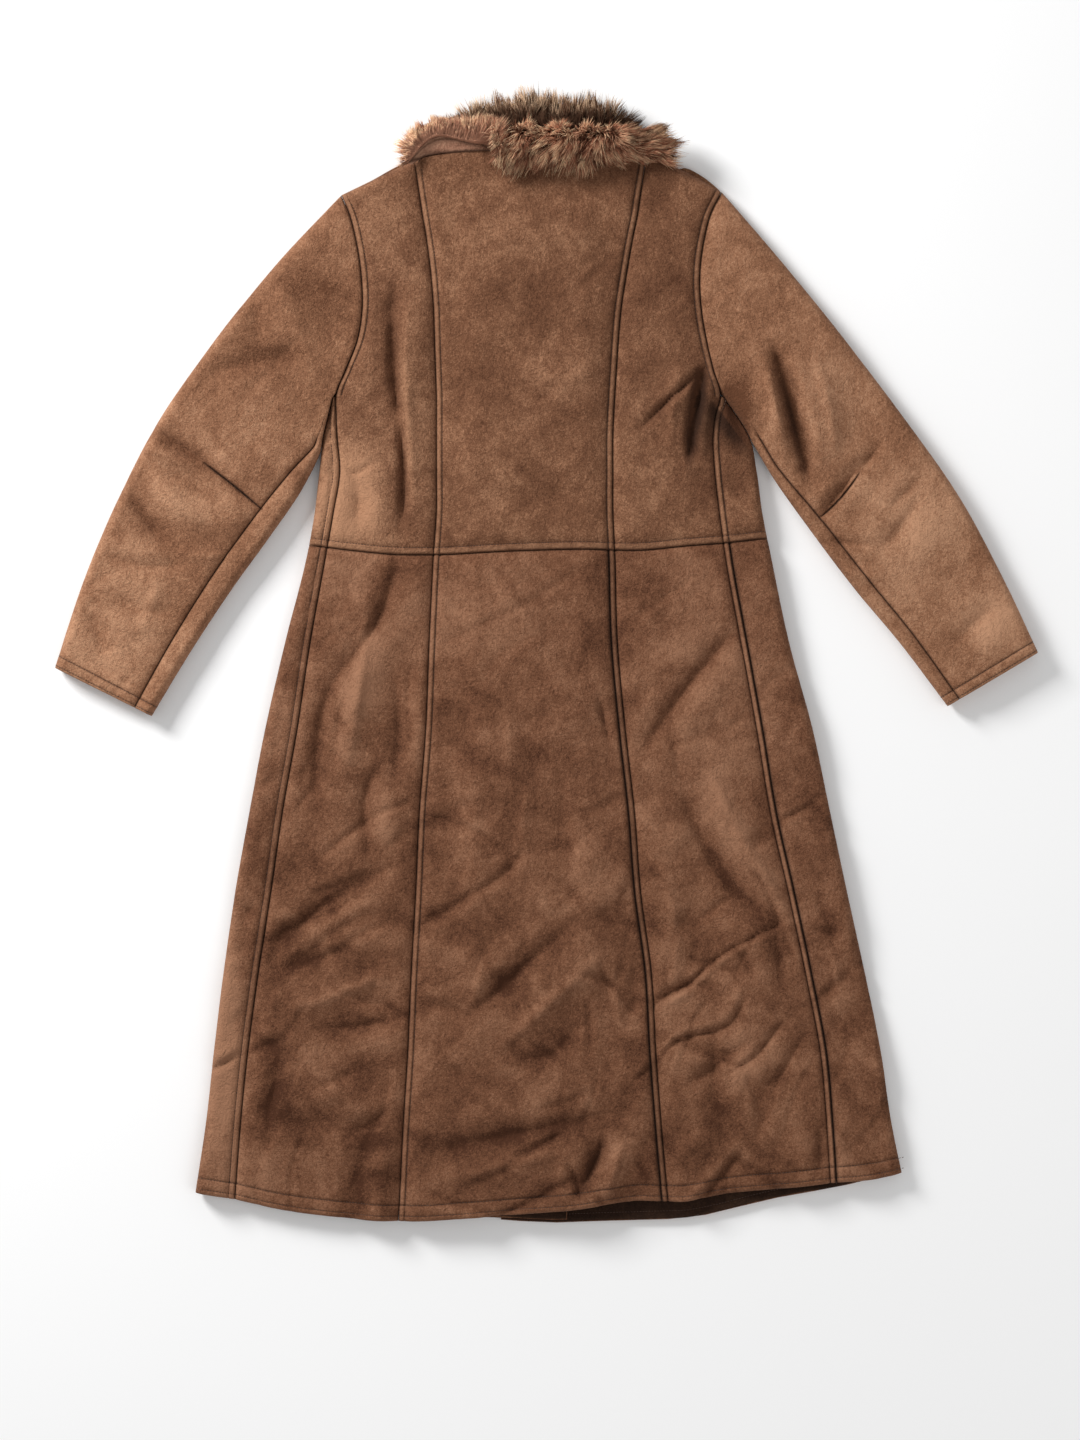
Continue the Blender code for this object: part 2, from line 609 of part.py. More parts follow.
def front_panel(name, side, edge, sign, upper, parent):
    """Make one front: it shows as a strip beside the side seam, rolls under and reaches the lap."""
    across, angle, first_under = wrap_columns(side, edge, sign)
    count = len(angle)

    def outer_across(height):
        return across(height, 0)

    beneath = np.clip((90.0 - np.degrees(angle)) / 180.0, 0.0, 1.0)
    start = np.full(count, WAIST_GUESS)
    if upper:
        y, shoulder, high = upper_front_rows(side, outer_across, first_under, count)
        rows = len(y)
        low = y[0]
    else:
        above = end_heights(outer_across, HEM_AT_BACK, np.full(count, HEM_GUESS))
        below = end_heights(outer_across, HEM_AT_FRONT, np.full(count, HEM_GUESS))
        below = hem_of_front(outer_across(below), sign)
        low = above + (below - above) * beneath
        high = end_heights(outer_across, WAIST, start) - HALF_GAP
        high[STRIP_COLUMNS:first_under + 1] = high[STRIP_COLUMNS]
        y = low + (high - low) * skirt_places()[:, None]
        rows = len(y)
        shoulder = np.full((rows, 1), math.pi / 2.0)
    x_outer = np.array([across(row, 0) for row in y])
    y_inner = y.copy()
    if upper:
        armhole_edge(side, y, x_outer, first_under, sign)
        share = shoulder_share(x_outer)
        in_roll = shoulder < math.pi / 2.0 - ROLL_LEVEL
        inner_drop = SHOULDER_ROLL - (SHOULDER_ROLL - FRONT_WALL) * np.cos(shoulder)
        y_inner = np.where(in_roll, share * (high - inner_drop) + (1.0 - share) * y, y)
    x_inner = np.array([across(row, 1) for row in y_inner])
    if upper:
        armhole_edge(side, y_inner, x_inner, first_under, sign)
    top = body_top(x_outer, y)
    under = body_under(x_inner, y)
    hem_distance = y - low if not upper else np.full(y.shape, 1e3)
    foot_low, foot_high = front_under_faces(x_outer, sign, hem_distance)
    turn = np.sin(angle)[None, :]
    middle_outer = 0.5 * top
    middle_inner = 0.5 * (under + FRONT_WALL)
    z_outer = middle_outer + 0.5 * top * turn
    z_inner = middle_inner + 0.5 * (under - FRONT_WALL) * turn
    z_outer[:, first_under:] = foot_low[:, first_under:]
    z_inner[:, first_under:] = foot_high[:, first_under:]
    active = None
    if upper:
        meets = SHOULDER_MEETS - HALF_GAP
        rolled_low = meets - (meets - z_outer) * np.sin(shoulder)
        rolled_high = meets - (meets - z_inner) * np.sin(shoulder)
        z_outer = np.where(in_roll, share * rolled_low + (1.0 - share) * z_outer, z_outer)
        z_inner = np.where(in_roll, share * rolled_high + (1.0 - share) * z_inner, z_inner)
        active = np.ones((rows - 1, count - 1), dtype=bool)
        for row in range(rows - 1):
            if row >= BODICE_LOW_ROWS:
                active[row, :first_under] = False
    outer = np.stack([x_outer, y, z_outer], axis=2)
    inner = np.stack([x_inner, y_inner, z_inner], axis=2)
    finish = SUEDE_UPPER if upper else SUEDE_SKIRT
    return solid(name, outer, inner, finish, parent, active)


def upper_front_rows(side, outer_across, first_under, count):
    """Return an upper front's rows: level with the side seam as far as its edge, then up to the neck."""
    low = end_heights(outer_across, WAIST, np.full(count, WAIST_GUESS)) + HALF_GAP
    low[STRIP_COLUMNS:first_under + 1] = low[STRIP_COLUMNS]
    high = TOP_AT_FRONT(outer_across(np.full(count, ARMPIT)))
    high[:first_under + 1] = side_heights(side)[-1]
    y, shoulder = bodice_rows(low, high)
    return y, shoulder, high


def armhole_edge(side, y, x, first_under, sign):
    """Bring the underneath columns of an upper front to the armhole above the armpit."""
    share = np.linspace(0.0, 1.0, UNDERNEATH_COLUMNS + 1)
    for row in range(BODICE_LOW_ROWS, len(y)):
        armhole = SEAMS[side](y[row, first_under]) - sign * HALF_GAP
        far = x[row, first_under + UNDERNEATH_COLUMNS]
        x[row, first_under:first_under + UNDERNEATH_COLUMNS + 1] = armhole + (far - armhole) * share


def hem_facing(name, side, edge, sign, low_x, high_x, parent):
    """Make the suede facing that lies inside a front's hem, on the front's own points."""
    across, angle, first_under = wrap_columns(side, edge, sign)
    under = end_heights(lambda height: across(height, 0), HEM_AT_FRONT, np.full(len(angle), HEM_GUESS))
    stations = np.sort(across(under, 0)[first_under:])
    inside = (stations > low_x + FACING_STEP_LEAST) & (stations < high_x - FACING_STEP_LEAST)
    x = np.concatenate([[low_x], stations[inside], [high_x]])
    hem = np.interp(x, stations, hem_of_front(stations, sign))
    distance = np.array([FACING_INSET, 0.5 * FACING_WIDTH, FACING_WIDTH])[:, None]
    y = hem + distance
    x = np.broadcast_to(x, y.shape)
    _, plain = front_under_faces(x, sign, np.full(y.shape, SKIRT_LENGTH))
    outer = np.stack([x, y, plain], axis=2)
    inner = np.stack([x, y, plain - FACING_WALL], axis=2)
    return solid(name, outer, inner, SUEDE_FACING, parent)


class Sleeve:
    """Plan of one sleeve: its edges from armhole to cuff, and the turn of its rolled edges."""

    def __init__(self, rows, side, sign):
        self.side = side
        self.sign = sign
        self.outer = [Curve(rows, SLEEVE_NAMES, "along", name) for name in ("outer_x", "outer_y")]
        self.inner = [Curve(rows, SLEEVE_NAMES, "along", name) for name in ("inner_x", "inner_y")]
        self.strip = Curve(rows, SLEEVE_NAMES, "along", "under_strip")

    def across(self, along):
        """Return the step from the outer to the inner edge, and its length."""
        step = np.array([self.inner[axis](along) - self.outer[axis](along) for axis in (0, 1)])
        return step, float(np.hypot(*step))

    def slant(self, edge, along):
        """Sine of the angle between a ring of the sleeve and one of its edges."""
        step, wide = self.across(along)
        ahead = np.array([edge[axis](along + SLOPE_STEP) - edge[axis](along) for axis in (0, 1)])
        turned = abs(step[0] * ahead[1] - step[1] * ahead[0]) / (wide * float(np.hypot(*ahead)))
        return max(turned, SLOPE_LEAST)

    def limit(self, height):
        """Return the line that the sleeve keeps to: the armhole, and below it the body's edge."""
        level = side_heights(self.side)
        edge = self.side.replace("side", "edge")
        beside = SEAMS[edge](level[:BODICE_LOW_ROWS + 1]) + self.sign * ARMPIT_CLEAR
        armhole = SEAMS[self.side](level[BODICE_LOW_ROWS + 1:]) + self.sign * HALF_GAP
        heights = np.concatenate([level[:BODICE_LOW_ROWS], [ARMPIT_CORNER], level[BODICE_LOW_ROWS + 1:]])
        return np.interp(height, heights, np.concatenate([beside, armhole]))

    def point(self, along, distance):
        """Return x and y at a distance in from the outer edge, eased to the armhole at the start."""
        step, wide = self.across(along)
        share = distance / wide
        x = self.outer[0](along) + step[0] * share
        y = self.outer[1](along) + step[1] * share
        first, _ = self.across(0.0)
        start_x = self.outer[0](0.0) + first[0] * share
        start_y = self.outer[1](0.0) + first[1] * share
        ease = np.clip(1.0 - along / ARMHOLE_EASE_END, 0.0, 1.0) ** 2
        x = x + (self.limit(start_y) - start_x) * ease
        keep = np.maximum if self.sign > 0 else np.minimum
        return keep(x, self.limit(y)), y


def sleeve_top(x, y, along, seam_distance):
    """Height of a sleeve's upper face."""
    seam_distance = seam_distance if along > UNDER_START - ROLL_LEVEL else np.full_like(x, SLEEVE_LENGTH)
    distance = np.minimum(seam_distance, along * SLEEVE_LENGTH)
    relief = seam_relief(distance) + fold_height(x, y)
    return BACK_TOP + SLEEVE_RISE * smooth(along / SLEEVE_RISE_END) + relief


def sleeve_shares(sleeve):
    """Return the columns between a sleeve's rolled edges, level with the armhole's rows."""
    _, wide = sleeve.across(0.0)
    roll = SLEEVE_OUTER_ROLL / sleeve.slant(sleeve.outer, 0.0)
    seam = wide - SLEEVE_INNER_ROLL / sleeve.slant(sleeve.inner, 0.0) - SLEEVE_SEAM_INSET
    top = float(sleeve.outer[1](0.0))
    level = side_heights(sleeve.side)[BODICE_LOW_ROWS + 1:][::-1]
    reach = (top - level) / (top - float(sleeve.inner[1](0.0))) * wide
    reach = reach[(reach > roll + FIRST_COLUMN_STEP) & (reach < seam - LAST_COLUMN_STEP)]
    return np.concatenate([[0.0], (reach - roll) / (seam - roll), [1.0]])


def sleeve_ring(sleeve, along, shares, part):
    """Lay out one ring of a sleeve's tube: distances in from the outer edge, and its roll angles.

    The ring goes from the elbow seam over the outer edge to the forearm seam, and on round the inner edge.
    """
    _, wide = sleeve.across(along)
    outer_slant = sleeve.slant(sleeve.outer, along)
    inner_slant = sleeve.slant(sleeve.inner, along)
    roll = SLEEVE_OUTER_ROLL / outer_slant
    back_roll = SLEEVE_INNER_ROLL / inner_slant
    tight = max(SLEEVE_OUTER_ROLL - SLEEVE_WALL, INNER_ROLL_LEAST) / outer_slant
    back_tight = max(SLEEVE_INNER_ROLL - SLEEVE_WALL, INNER_ROLL_LEAST) / inner_slant
    seam = wide - max(float(sleeve.strip(along)), back_roll + SLEEVE_ROLL_INSET)
    upper = roll + shares * (seam - roll)
    forearm = int(np.argmin(np.abs(shares - FOREARM_SEAM)))
    turn = np.radians(np.linspace(90.0, -90.0, ROLL_STEPS + 1)[1:-1])
    over = upper[::-1].copy()
    under = upper[:forearm + 1].copy()
    rest = np.append(upper[forearm:-1], wide - back_roll)
    if part != "whole":
        over[0] -= HALF_GAP
        under[-1] -= HALF_GAP
        rest[0] += HALF_GAP
    round_out = np.array([roll * (1.0 - np.cos(turn)), roll - tight * np.cos(turn)])
    back_turn = np.radians(INNER_TURNS)
    round_in = wide - back_roll + np.array([back_roll * np.cos(back_turn), back_tight * np.cos(back_turn)])
    flat = [np.full(len(group), math.pi / 2.0) for group in (over, under, rest)]
    first = [np.concatenate([over, round_out[face], under]) for face in (0, 1)]
    first_angle = np.concatenate([flat[0], turn, -flat[1]])
    near = wide - back_roll
    last = [np.concatenate([rest, round_in[face][::-1], [near]]) for face in (0, 1)]
    last_angle = np.concatenate([-flat[2], back_turn[::-1], [math.pi / 2.0]])
    if part == "under":
        edge = seam + HALF_GAP
        last = [np.append(line, edge) for line in last]
        return last, np.append(last_angle, math.pi / 2.0), seam
    last = [line[1:] for line in last]
    both = [np.concatenate([first[face], last[face]]) for face in (0, 1)]
    return both, np.concatenate([first_angle, last_angle[1:]]), seam


def sleeve_grid(sleeve, places, shares, part):
    """Return the outer and inner points of a sleeve piece."""
    outer_rows = []
    inner_rows = []
    for along in places:
        (outer, inner), angle, seam = sleeve_ring(sleeve, along, shares, part)
        x, y = sleeve.point(along, outer)
        x_in, y_in = sleeve.point(along, inner)
        top = sleeve_top(x, y, along, np.abs(outer - seam))
        slot = LAYER_GAP + SLEEVE_SLOT * smooth(along / SLEEVE_SLOT_END)
        z_outer = 0.5 * top * (1.0 + np.sin(angle))
        z_inner = SLEEVE_WALL + 0.5 * slot * (1.0 + np.sin(angle))
        outer_rows.append(np.stack([x, y, z_outer], axis=1))
        inner_rows.append(np.stack([x_in, y_in, z_inner], axis=1))
    return np.array(outer_rows), np.array(inner_rows)


def sleeve_pieces(side_name, rows, side, sign, parent):
    """Make the upper and the under piece of one sleeve, a flattened tube with an open cuff."""
    sleeve = Sleeve(rows, side, sign)
    shares = sleeve_shares(sleeve)
    start = np.linspace(0.0, UNDER_START, SLEEVE_START_ROWS + 1)
    rest = np.linspace(UNDER_START, 1.0, SLEEVE_ROWS + 1)
    whole = sleeve_grid(sleeve, start, shares, "whole")
    split = sleeve_grid(sleeve, rest[1:], shares, "upper")
    outer, inner = [np.concatenate([whole[face], split[face]]) for face in (0, 1)]
    forearm = int(np.argmin(np.abs(shares - FOREARM_SEAM)))
    first = len(shares) + ROLL_STEPS - 1 + forearm
    active = np.ones((len(outer) - 1, outer.shape[1]), dtype=bool)
    active[SLEEVE_START_ROWS:, first:] = False
    solid("sleeve_upper_" + side_name, outer, inner, SUEDE_SLEEVE, parent, active)
    rest[0] += UNDER_START_GAP
    outer, inner = sleeve_grid(sleeve, rest, shares, "under")
    solid("sleeve_under_" + side_name, outer, inner, SUEDE_SLEEVE, parent)


def collar_base(x, y):
    """Height of what the collar's fall lies on."""
    on_back = body_top(x, np.minimum(y, TOP_AT_BACK(x)))
    over_inner = np.full_like(x, INNER_DEPTH) * smooth((y - OVER_INNER_START) / OVER_INNER_RUN)
    on_under = INNER_DEPTH + COLLAR_CLEAR + UNDERCOLLAR_WALL + UNDERCOLLAR_SLOPE
    lens = smooth((OVER_UNDERCOLLAR_RIGHT - x) / OVER_UNDERCOLLAR_RIGHT_RUN)
    lens = lens * smooth((x - OVER_UNDERCOLLAR_LEFT) / OVER_UNDERCOLLAR_LEFT_RUN)
    lens = lens * smooth((y - OVER_UNDERCOLLAR_LOWER) / OVER_UNDERCOLLAR_LOWER_RUN)
    return np.maximum(np.maximum(on_back, over_inner), on_under * lens) + COLLAR_CLEAR


def collar_pieces(parent):
    """Make the fur fall, the fur inside the neck and the suede under the collar."""
    stations = column(COLLAR_FALL, FALL_NAMES, "x")
    lower = Curve(COLLAR_FALL, FALL_NAMES, "x", "lower")
    upper = Curve(COLLAR_FALL, FALL_NAMES, "x", "upper")
    depth = Curve(COLLAR_FALL, FALL_NAMES, "x", "depth")
    x = np.interp(np.linspace(0, len(stations) - 1, FALL_STATIONS), np.arange(len(stations)), stations)
    across = spread(FALL_STEPS, COLLAR_GATHER)[:, None]
    y = lower(x) + (upper(x) - lower(x)) * across
    x = np.broadcast_to(x, y.shape).copy()
    full = np.sqrt(np.clip(1.0 - (2.0 * across - 1.0) ** 2, 0.0, 1.0))
    base = collar_base(x, y)
    top = base + FALL_EDGE + (depth(x) - FALL_EDGE) * full
    solid("collar_fall", np.stack([x, y, top], axis=2), np.stack([x, y, base], axis=2), FUR_FALL, parent)

    ridge = Curve(COLLAR_INNER, INNER_NAMES, "x", "upper")
    x = np.linspace(COLLAR_INNER[0][0], COLLAR_INNER[-1][0], INNER_STATIONS)
    across = spread(INNER_STEPS, COLLAR_GATHER)[:, None]
    y = INNER_LOWER + (ridge(x) - INNER_LOWER) * across
    x = np.broadcast_to(x, y.shape).copy()
    edge = smooth((x - COLLAR_INNER[0][0] + INNER_END_START) / INNER_END_EASE)
    edge = edge * smooth((COLLAR_INNER[-1][0] + INNER_END_START - x) / INNER_END_EASE)
    fall_off = np.sqrt(np.clip(1.0 - np.clip(2.0 * across - 1.0, 0.0, 1.0) ** 2, 0.0, 1.0))
    top = INNER_EDGE_DEPTH + (INNER_DEPTH - INNER_EDGE_DEPTH) * edge * fall_off
    floor = np.zeros_like(top)
    solid("collar_inner", np.stack([x, y, top], axis=2), np.stack([x, y, floor], axis=2), FUR_INNER, parent)

    brim = Curve(UNDERCOLLAR, UNDERCOLLAR_NAMES, "x", "upper")
    x = np.linspace(UNDERCOLLAR[0][0], UNDERCOLLAR[-1][0], UNDERCOLLAR_STATIONS)
    across = np.linspace(0.0, 1.0, UNDERCOLLAR_STEPS + 1)[:, None]
    y = UNDERCOLLAR_LOWER + (brim(x) - UNDERCOLLAR_LOWER) * across
    x = np.broadcast_to(x, y.shape).copy()
    rise = INNER_DEPTH + COLLAR_CLEAR + UNDERCOLLAR_WALL + UNDERCOLLAR_SLOPE * across * np.ones_like(x)
    solid("undercollar", np.stack([x, y, rise], axis=2), np.stack([x, y, rise - UNDERCOLLAR_WALL], axis=2),
          SUEDE_UNDERCOLLAR, parent)


def main():
    """Build the coat."""
    for item in list(bpy.data.objects):
        bpy.data.objects.remove(item, do_unlink=True)
    coat = bpy.data.objects.new("coat", None)
    bpy.context.scene.collection.objects.link(coat)

    back_skirt("back_skirt_left", "left_side", "left_princess", SIDE_COLUMNS, coat)
    back_skirt("back_skirt_middle", "left_princess", "right_princess", MIDDLE_COLUMNS, coat)
    back_skirt("back_skirt_right", "right_princess", "right_side", SIDE_COLUMNS, coat)
    back_bodice("back_upper_left", "left_side", "left_princess", BODICE_SIDE_COLUMNS, coat)
    back_bodice("back_upper_middle", "left_princess", "right_princess", BODICE_MIDDLE_COLUMNS, coat)
    back_bodice("back_upper_right", "right_princess", "right_side", BODICE_SIDE_COLUMNS, coat)
    front_panel("front_skirt_left", "left_side", "left_edge", -1, False, coat)
    front_panel("front_skirt_right", "right_side", "right_edge", 1, False, coat)
    front_panel("front_upper_left", "left_side", "left_edge", -1, True, coat)
    front_panel("front_upper_right", "right_side", "right_edge", 1, True, coat)
    hem_facing("hem_facing_right", "right_side", "right_edge", 1,
               RIGHT_FRONT_EDGE + FACING_EDGE_INSET, RIGHT_FACING_END, coat)
    hem_facing("hem_facing_left", "left_side", "left_edge", -1,
               LEFT_FACING_START, LEFT_FRONT_EDGE - FACING_EDGE_INSET, coat)
    sleeve_pieces("left", LEFT_SLEEVE, "left_side", -1, coat)
    sleeve_pieces("right", RIGHT_SLEEVE, "right_side", 1, coat)
    collar_pieces(coat)


main()
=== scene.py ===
"""Looks of a shearling coat that lies face down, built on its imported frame.

Lengths are in millimetres until a mesh is made. X runs across the coat, Y up to the collar and Z out of
the surface that the coat lies on.
"""
from __future__ import annotations

import logging
import math
from dataclasses import dataclass
from enum import Enum
from typing import Callable, Optional, Sequence

import bmesh
import bpy
import numpy as np
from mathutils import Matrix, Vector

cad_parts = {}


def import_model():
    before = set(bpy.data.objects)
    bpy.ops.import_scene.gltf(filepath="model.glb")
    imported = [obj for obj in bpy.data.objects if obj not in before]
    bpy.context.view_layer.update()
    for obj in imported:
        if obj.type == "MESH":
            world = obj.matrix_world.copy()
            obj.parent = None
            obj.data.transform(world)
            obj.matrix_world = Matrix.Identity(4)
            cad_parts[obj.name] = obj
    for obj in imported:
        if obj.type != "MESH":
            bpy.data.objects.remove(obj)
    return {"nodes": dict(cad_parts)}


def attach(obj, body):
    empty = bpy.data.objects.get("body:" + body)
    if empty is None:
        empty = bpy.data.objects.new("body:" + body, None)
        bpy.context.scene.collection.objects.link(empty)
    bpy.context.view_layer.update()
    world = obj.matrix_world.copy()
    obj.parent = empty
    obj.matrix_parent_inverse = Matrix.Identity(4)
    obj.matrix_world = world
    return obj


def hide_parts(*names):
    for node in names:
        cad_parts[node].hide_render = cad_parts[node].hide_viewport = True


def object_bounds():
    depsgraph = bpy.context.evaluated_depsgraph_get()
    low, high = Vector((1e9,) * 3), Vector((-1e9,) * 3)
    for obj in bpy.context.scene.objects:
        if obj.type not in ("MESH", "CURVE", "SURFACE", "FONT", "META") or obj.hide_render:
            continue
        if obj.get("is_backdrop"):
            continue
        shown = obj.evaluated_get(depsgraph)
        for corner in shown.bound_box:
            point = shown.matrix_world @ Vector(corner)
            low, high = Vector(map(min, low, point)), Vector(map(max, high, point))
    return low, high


LOG = logging.getLogger("coat")
MM = 0.001
Points = np.ndarray
Marks = dict[str, np.ndarray]


class Side(Enum):
    """The wearer's side, by the sign of X."""

    LEFT = -1
    RIGHT = 1

    @property
    def word(self) -> str:
        """Return the side as it stands in names."""
        return self.name.lower()


@dataclass(frozen=True)
class Table:
    """Short table with named columns."""

    names: tuple[str, ...]
    rows: tuple[tuple, ...]

    def column(self, name: str) -> Points:
        """Return one column by its name."""
        return np.array([row[self.names.index(name)] for row in self.rows], dtype=float)

    def records(self) -> list[dict]:
        """Return the rows as dictionaries."""
        return [dict(zip(self.names, row)) for row in self.rows]

    def row_names(self) -> list[str]:
        """Return the first column's entries, which name the rows."""
        return [row[0] for row in self.rows]


class Curve:
    """Smooth curve through a table's rows, straight beyond its ends."""

    def __init__(self, table: Table, along: str, value: str) -> None:
        """Keep the curve's points and slopes.

        Args:
            table: rows that the curve goes through.
            along: column to go along.
            value: column to read.
        """
        self.along = table.column(along)
        self.value = table.column(value)
        self.slope = np.gradient(self.value, self.along)

    def __call__(self, at: Points | float) -> Points:
        """Return the value at each place.

        Args:
            at: places along the curve.

        Returns:
            Values of the same shape.
        """
        at = np.asarray(at, dtype=float)
        inside = np.clip(at, self.along[0], self.along[-1])
        place = np.clip(np.searchsorted(self.along, inside) - 1, 0, len(self.along) - 2)
        step = self.along[place + 1] - self.along[place]
        part = (inside - self.along[place]) / step
        start = (1.0 + 2.0 * part) * (1.0 - part) ** 2 * self.value[place]
        leave = part * (1.0 - part) ** 2 * step * self.slope[place]
        end = part ** 2 * (3.0 - 2.0 * part) * self.value[place + 1]
        arrive = part ** 2 * (part - 1.0) * step * self.slope[place + 1]
        beyond = (at - inside) * np.where(at < self.along[0], self.slope[0], self.slope[-1])
        return start + leave + end + arrive + beyond


def through(*points: tuple[float, float]) -> Curve:
    """Return a curve through points, each given as x and y."""
    return Curve(Table(XY, points), "x", "y")


def smooth(part: Points | float) -> Points:
    """Ease from 0 to 1."""
    part = np.clip(part, 0.0, 1.0)
    return part * part * (3.0 - 2.0 * part)


def bell(away: Points | float, width: float) -> Points:
    """Return 1 at no distance, fading to 0 past the width."""
    return np.exp(-(np.asarray(away) / width) ** 2)


class Clouds:
    """Soft uneven noise from -1 to 1 on a fixed lattice."""

    def __init__(self, seed: int, size: int = 61) -> None:
        """Draw the lattice from a fixed seed."""
        self.size = size
        self.lattice = np.random.default_rng(seed).uniform(-1.0, 1.0, (size, size))

    def __call__(self, x: Points, y: Points, step_x: float, step_y: float) -> Points:
        """Return the noise at each point.

        Args:
            x: places across.
            y: places along.
            step_x: lattice step across.
            step_y: lattice step along.

        Returns:
            Noise of the same shape.
        """
        column = x / step_x
        row = y / step_y
        left = np.floor(column).astype(int)
        low = np.floor(row).astype(int)
        across = smooth(column - left)
        up = smooth(row - low)
        corner = [self.lattice[(low + down) % self.size, (left + side) % self.size]
                  for down in (0, 1) for side in (0, 1)]
        bottom = corner[0] * (1.0 - across) + corner[1] * across
        top = corner[2] * (1.0 - across) + corner[3] * across
        return bottom * (1.0 - up) + top * up


SEAM_ROWS = Table(
    ("y", "left_edge", "left_side", "left_princess", "right_princess", "right_side", "right_edge"),
    (
        (-600, -393, -348, -164, 135, 318, 403),
        (-520, -381, -342, -160, 128, 313, 386),
        (-440, -372, -334, -155, 122, 306, 374),
        (-350, -361, -322, -151, 117, 289, 356),
        (-260, -348, -308, -146, 105, 270, 336),
        (-170, -332, -295, -142, 98, 250, 317),
        (-80, -315, -279, -135, 88, 235, 298),
        (20, -292, -264, -131, 79, 217, 271),
        (120, -267, -246, -126, 76, 199, 250),
        (165, -259, -238, -123, 74, 193, 241),
        (210, -254, -231, -123, 74, 188, 235),
        (250, -249, -234, -123, 74, 186, 226),
        (275, -243, -235, -123, 75, 189, 211),
        (293, -239, -236, -123, 76, 194, 198),
        (325, -239, -224, -124, 78, 186, 198),
        (355, -239, -212, -125, 80, 179, 198),
        (390, -239, -206, -126, 83, 173, 198),
        (430, -239, -207, -129, 89, 171, 198),
        (470, -239, -213, -134, 96, 176, 198),
        (500, -239, -221, -139, 102, 184, 198),
        (520, -239, -230, -142, 105, 194, 198),
    ),
)

# How each seam is sewn: the side of it that is stitched down, how far off its stitches lie, how deep they draw
# the suede in above and below the waist, and how dark their line is there: the stitched line with painted shade
# in its groove
SEWN = Table(
    ("seam", "stitched", "stitch", "deep_above", "deep_below", "dark_above", "dark_below"),
    (
        ("left_side", -1, 7.0, 0.5, 0.9, 0.0, 0.35),
        ("left_princess", 1, 6.6, 0.6, 0.9, 0.1, 0.3),
        ("right_princess", -1, 6.6, 1.2, 3.4, 0.6, 1.0),
        ("right_side", 1, 6.6, 0.9, 3.6, 0.55, 1.0),
    ),
)
SEAMS = {name: Curve(SEAM_ROWS, "y", name) for name in SEAM_ROWS.names[1:]}
# The seams on the left and the right of each column of the back's panels
PANEL_SEAMS = {"left": ("left_side", "left_princess"), "middle": ("left_princess", "right_princess"),
               "right": ("right_princess", "right_side")}

XY = ("x", "y")
WAIST = through((-267, 128), (-220, 122), (-163, 117), (-122, 117), (-37, 121), (43, 123), (104, 122),
                (158, 127), (198, 130), (250, 136))
BACK_HEM = through((-395, -595), (-347, -603), (-297, -614), (-247, -621), (-163, -627), (-74, -622),
                   (32, -613), (105, -604), (150, -605), (198, -597), (278, -589), (324, -584),
                   (373, -579), (403, -572))
FRONT_HEM = through((-395, -595), (-297, -606), (-163, -617), (-60, -626), (7, -630), (60, -628),
                    (127, -626), (155, -625), (188, -619), (231, -608), (283, -597), (322, -591),
                    (361, -581), (403, -572))
TOP_EDGE = through((-230, 519), (-190, 538), (-150, 556), (-100, 565), (-35, 567), (40, 566),
                   (100, 560), (145, 550), (170, 538), (196, 522))
FRONT_NECK = through((-230, 519), (-190, 538), (-142, 559), (-110, 520), (-60, 470), (-20, 450),
                     (30, 450), (60, 470), (105, 520), (145, 550), (170, 538), (196, 522))

SLEEVE_NAMES = ("along", "outer_x", "outer_y", "inner_x", "inner_y", "under_strip")
SLEEVES = {
    Side.LEFT: Table(SLEEVE_NAMES, (
        (0.00, -229, 519, -246, 297, 10),
        (0.17, -303, 440, -253, 241, 11),
        (0.34, -375, 350, -275, 188, 24),
        (0.50, -432, 268, -310, 136, 27),
        (0.67, -478, 180, -352, 78, 26),
        (0.84, -518, 85, -398, 8, 24),
        (1.00, -549, -9, -441, -63, 21),
    )),
    Side.RIGHT: Table(SLEEVE_NAMES, (
        (0.00, 196, 523, 202, 298, 10),
        (0.17, 275, 430, 229, 249, 10),
        (0.34, 345, 342, 257, 198, 12),
        (0.50, 405, 262, 298, 140, 17),
        (0.67, 462, 180, 345, 78, 18),
        (0.84, 508, 95, 396, 17, 17),
        (1.00, 549, 8, 448, -52, 15),
    )),
}

# Elbow darts, from the elbow seam into the sleeve, and how deep they draw the suede in
DARTS = {
    Side.LEFT: ((-317.0, 167.0), (-350.0, 196.0), (-383.0, 220.0)),
    Side.RIGHT: ((306.0, 159.0), (330.0, 178.0), (349.0, 208.0)),
}

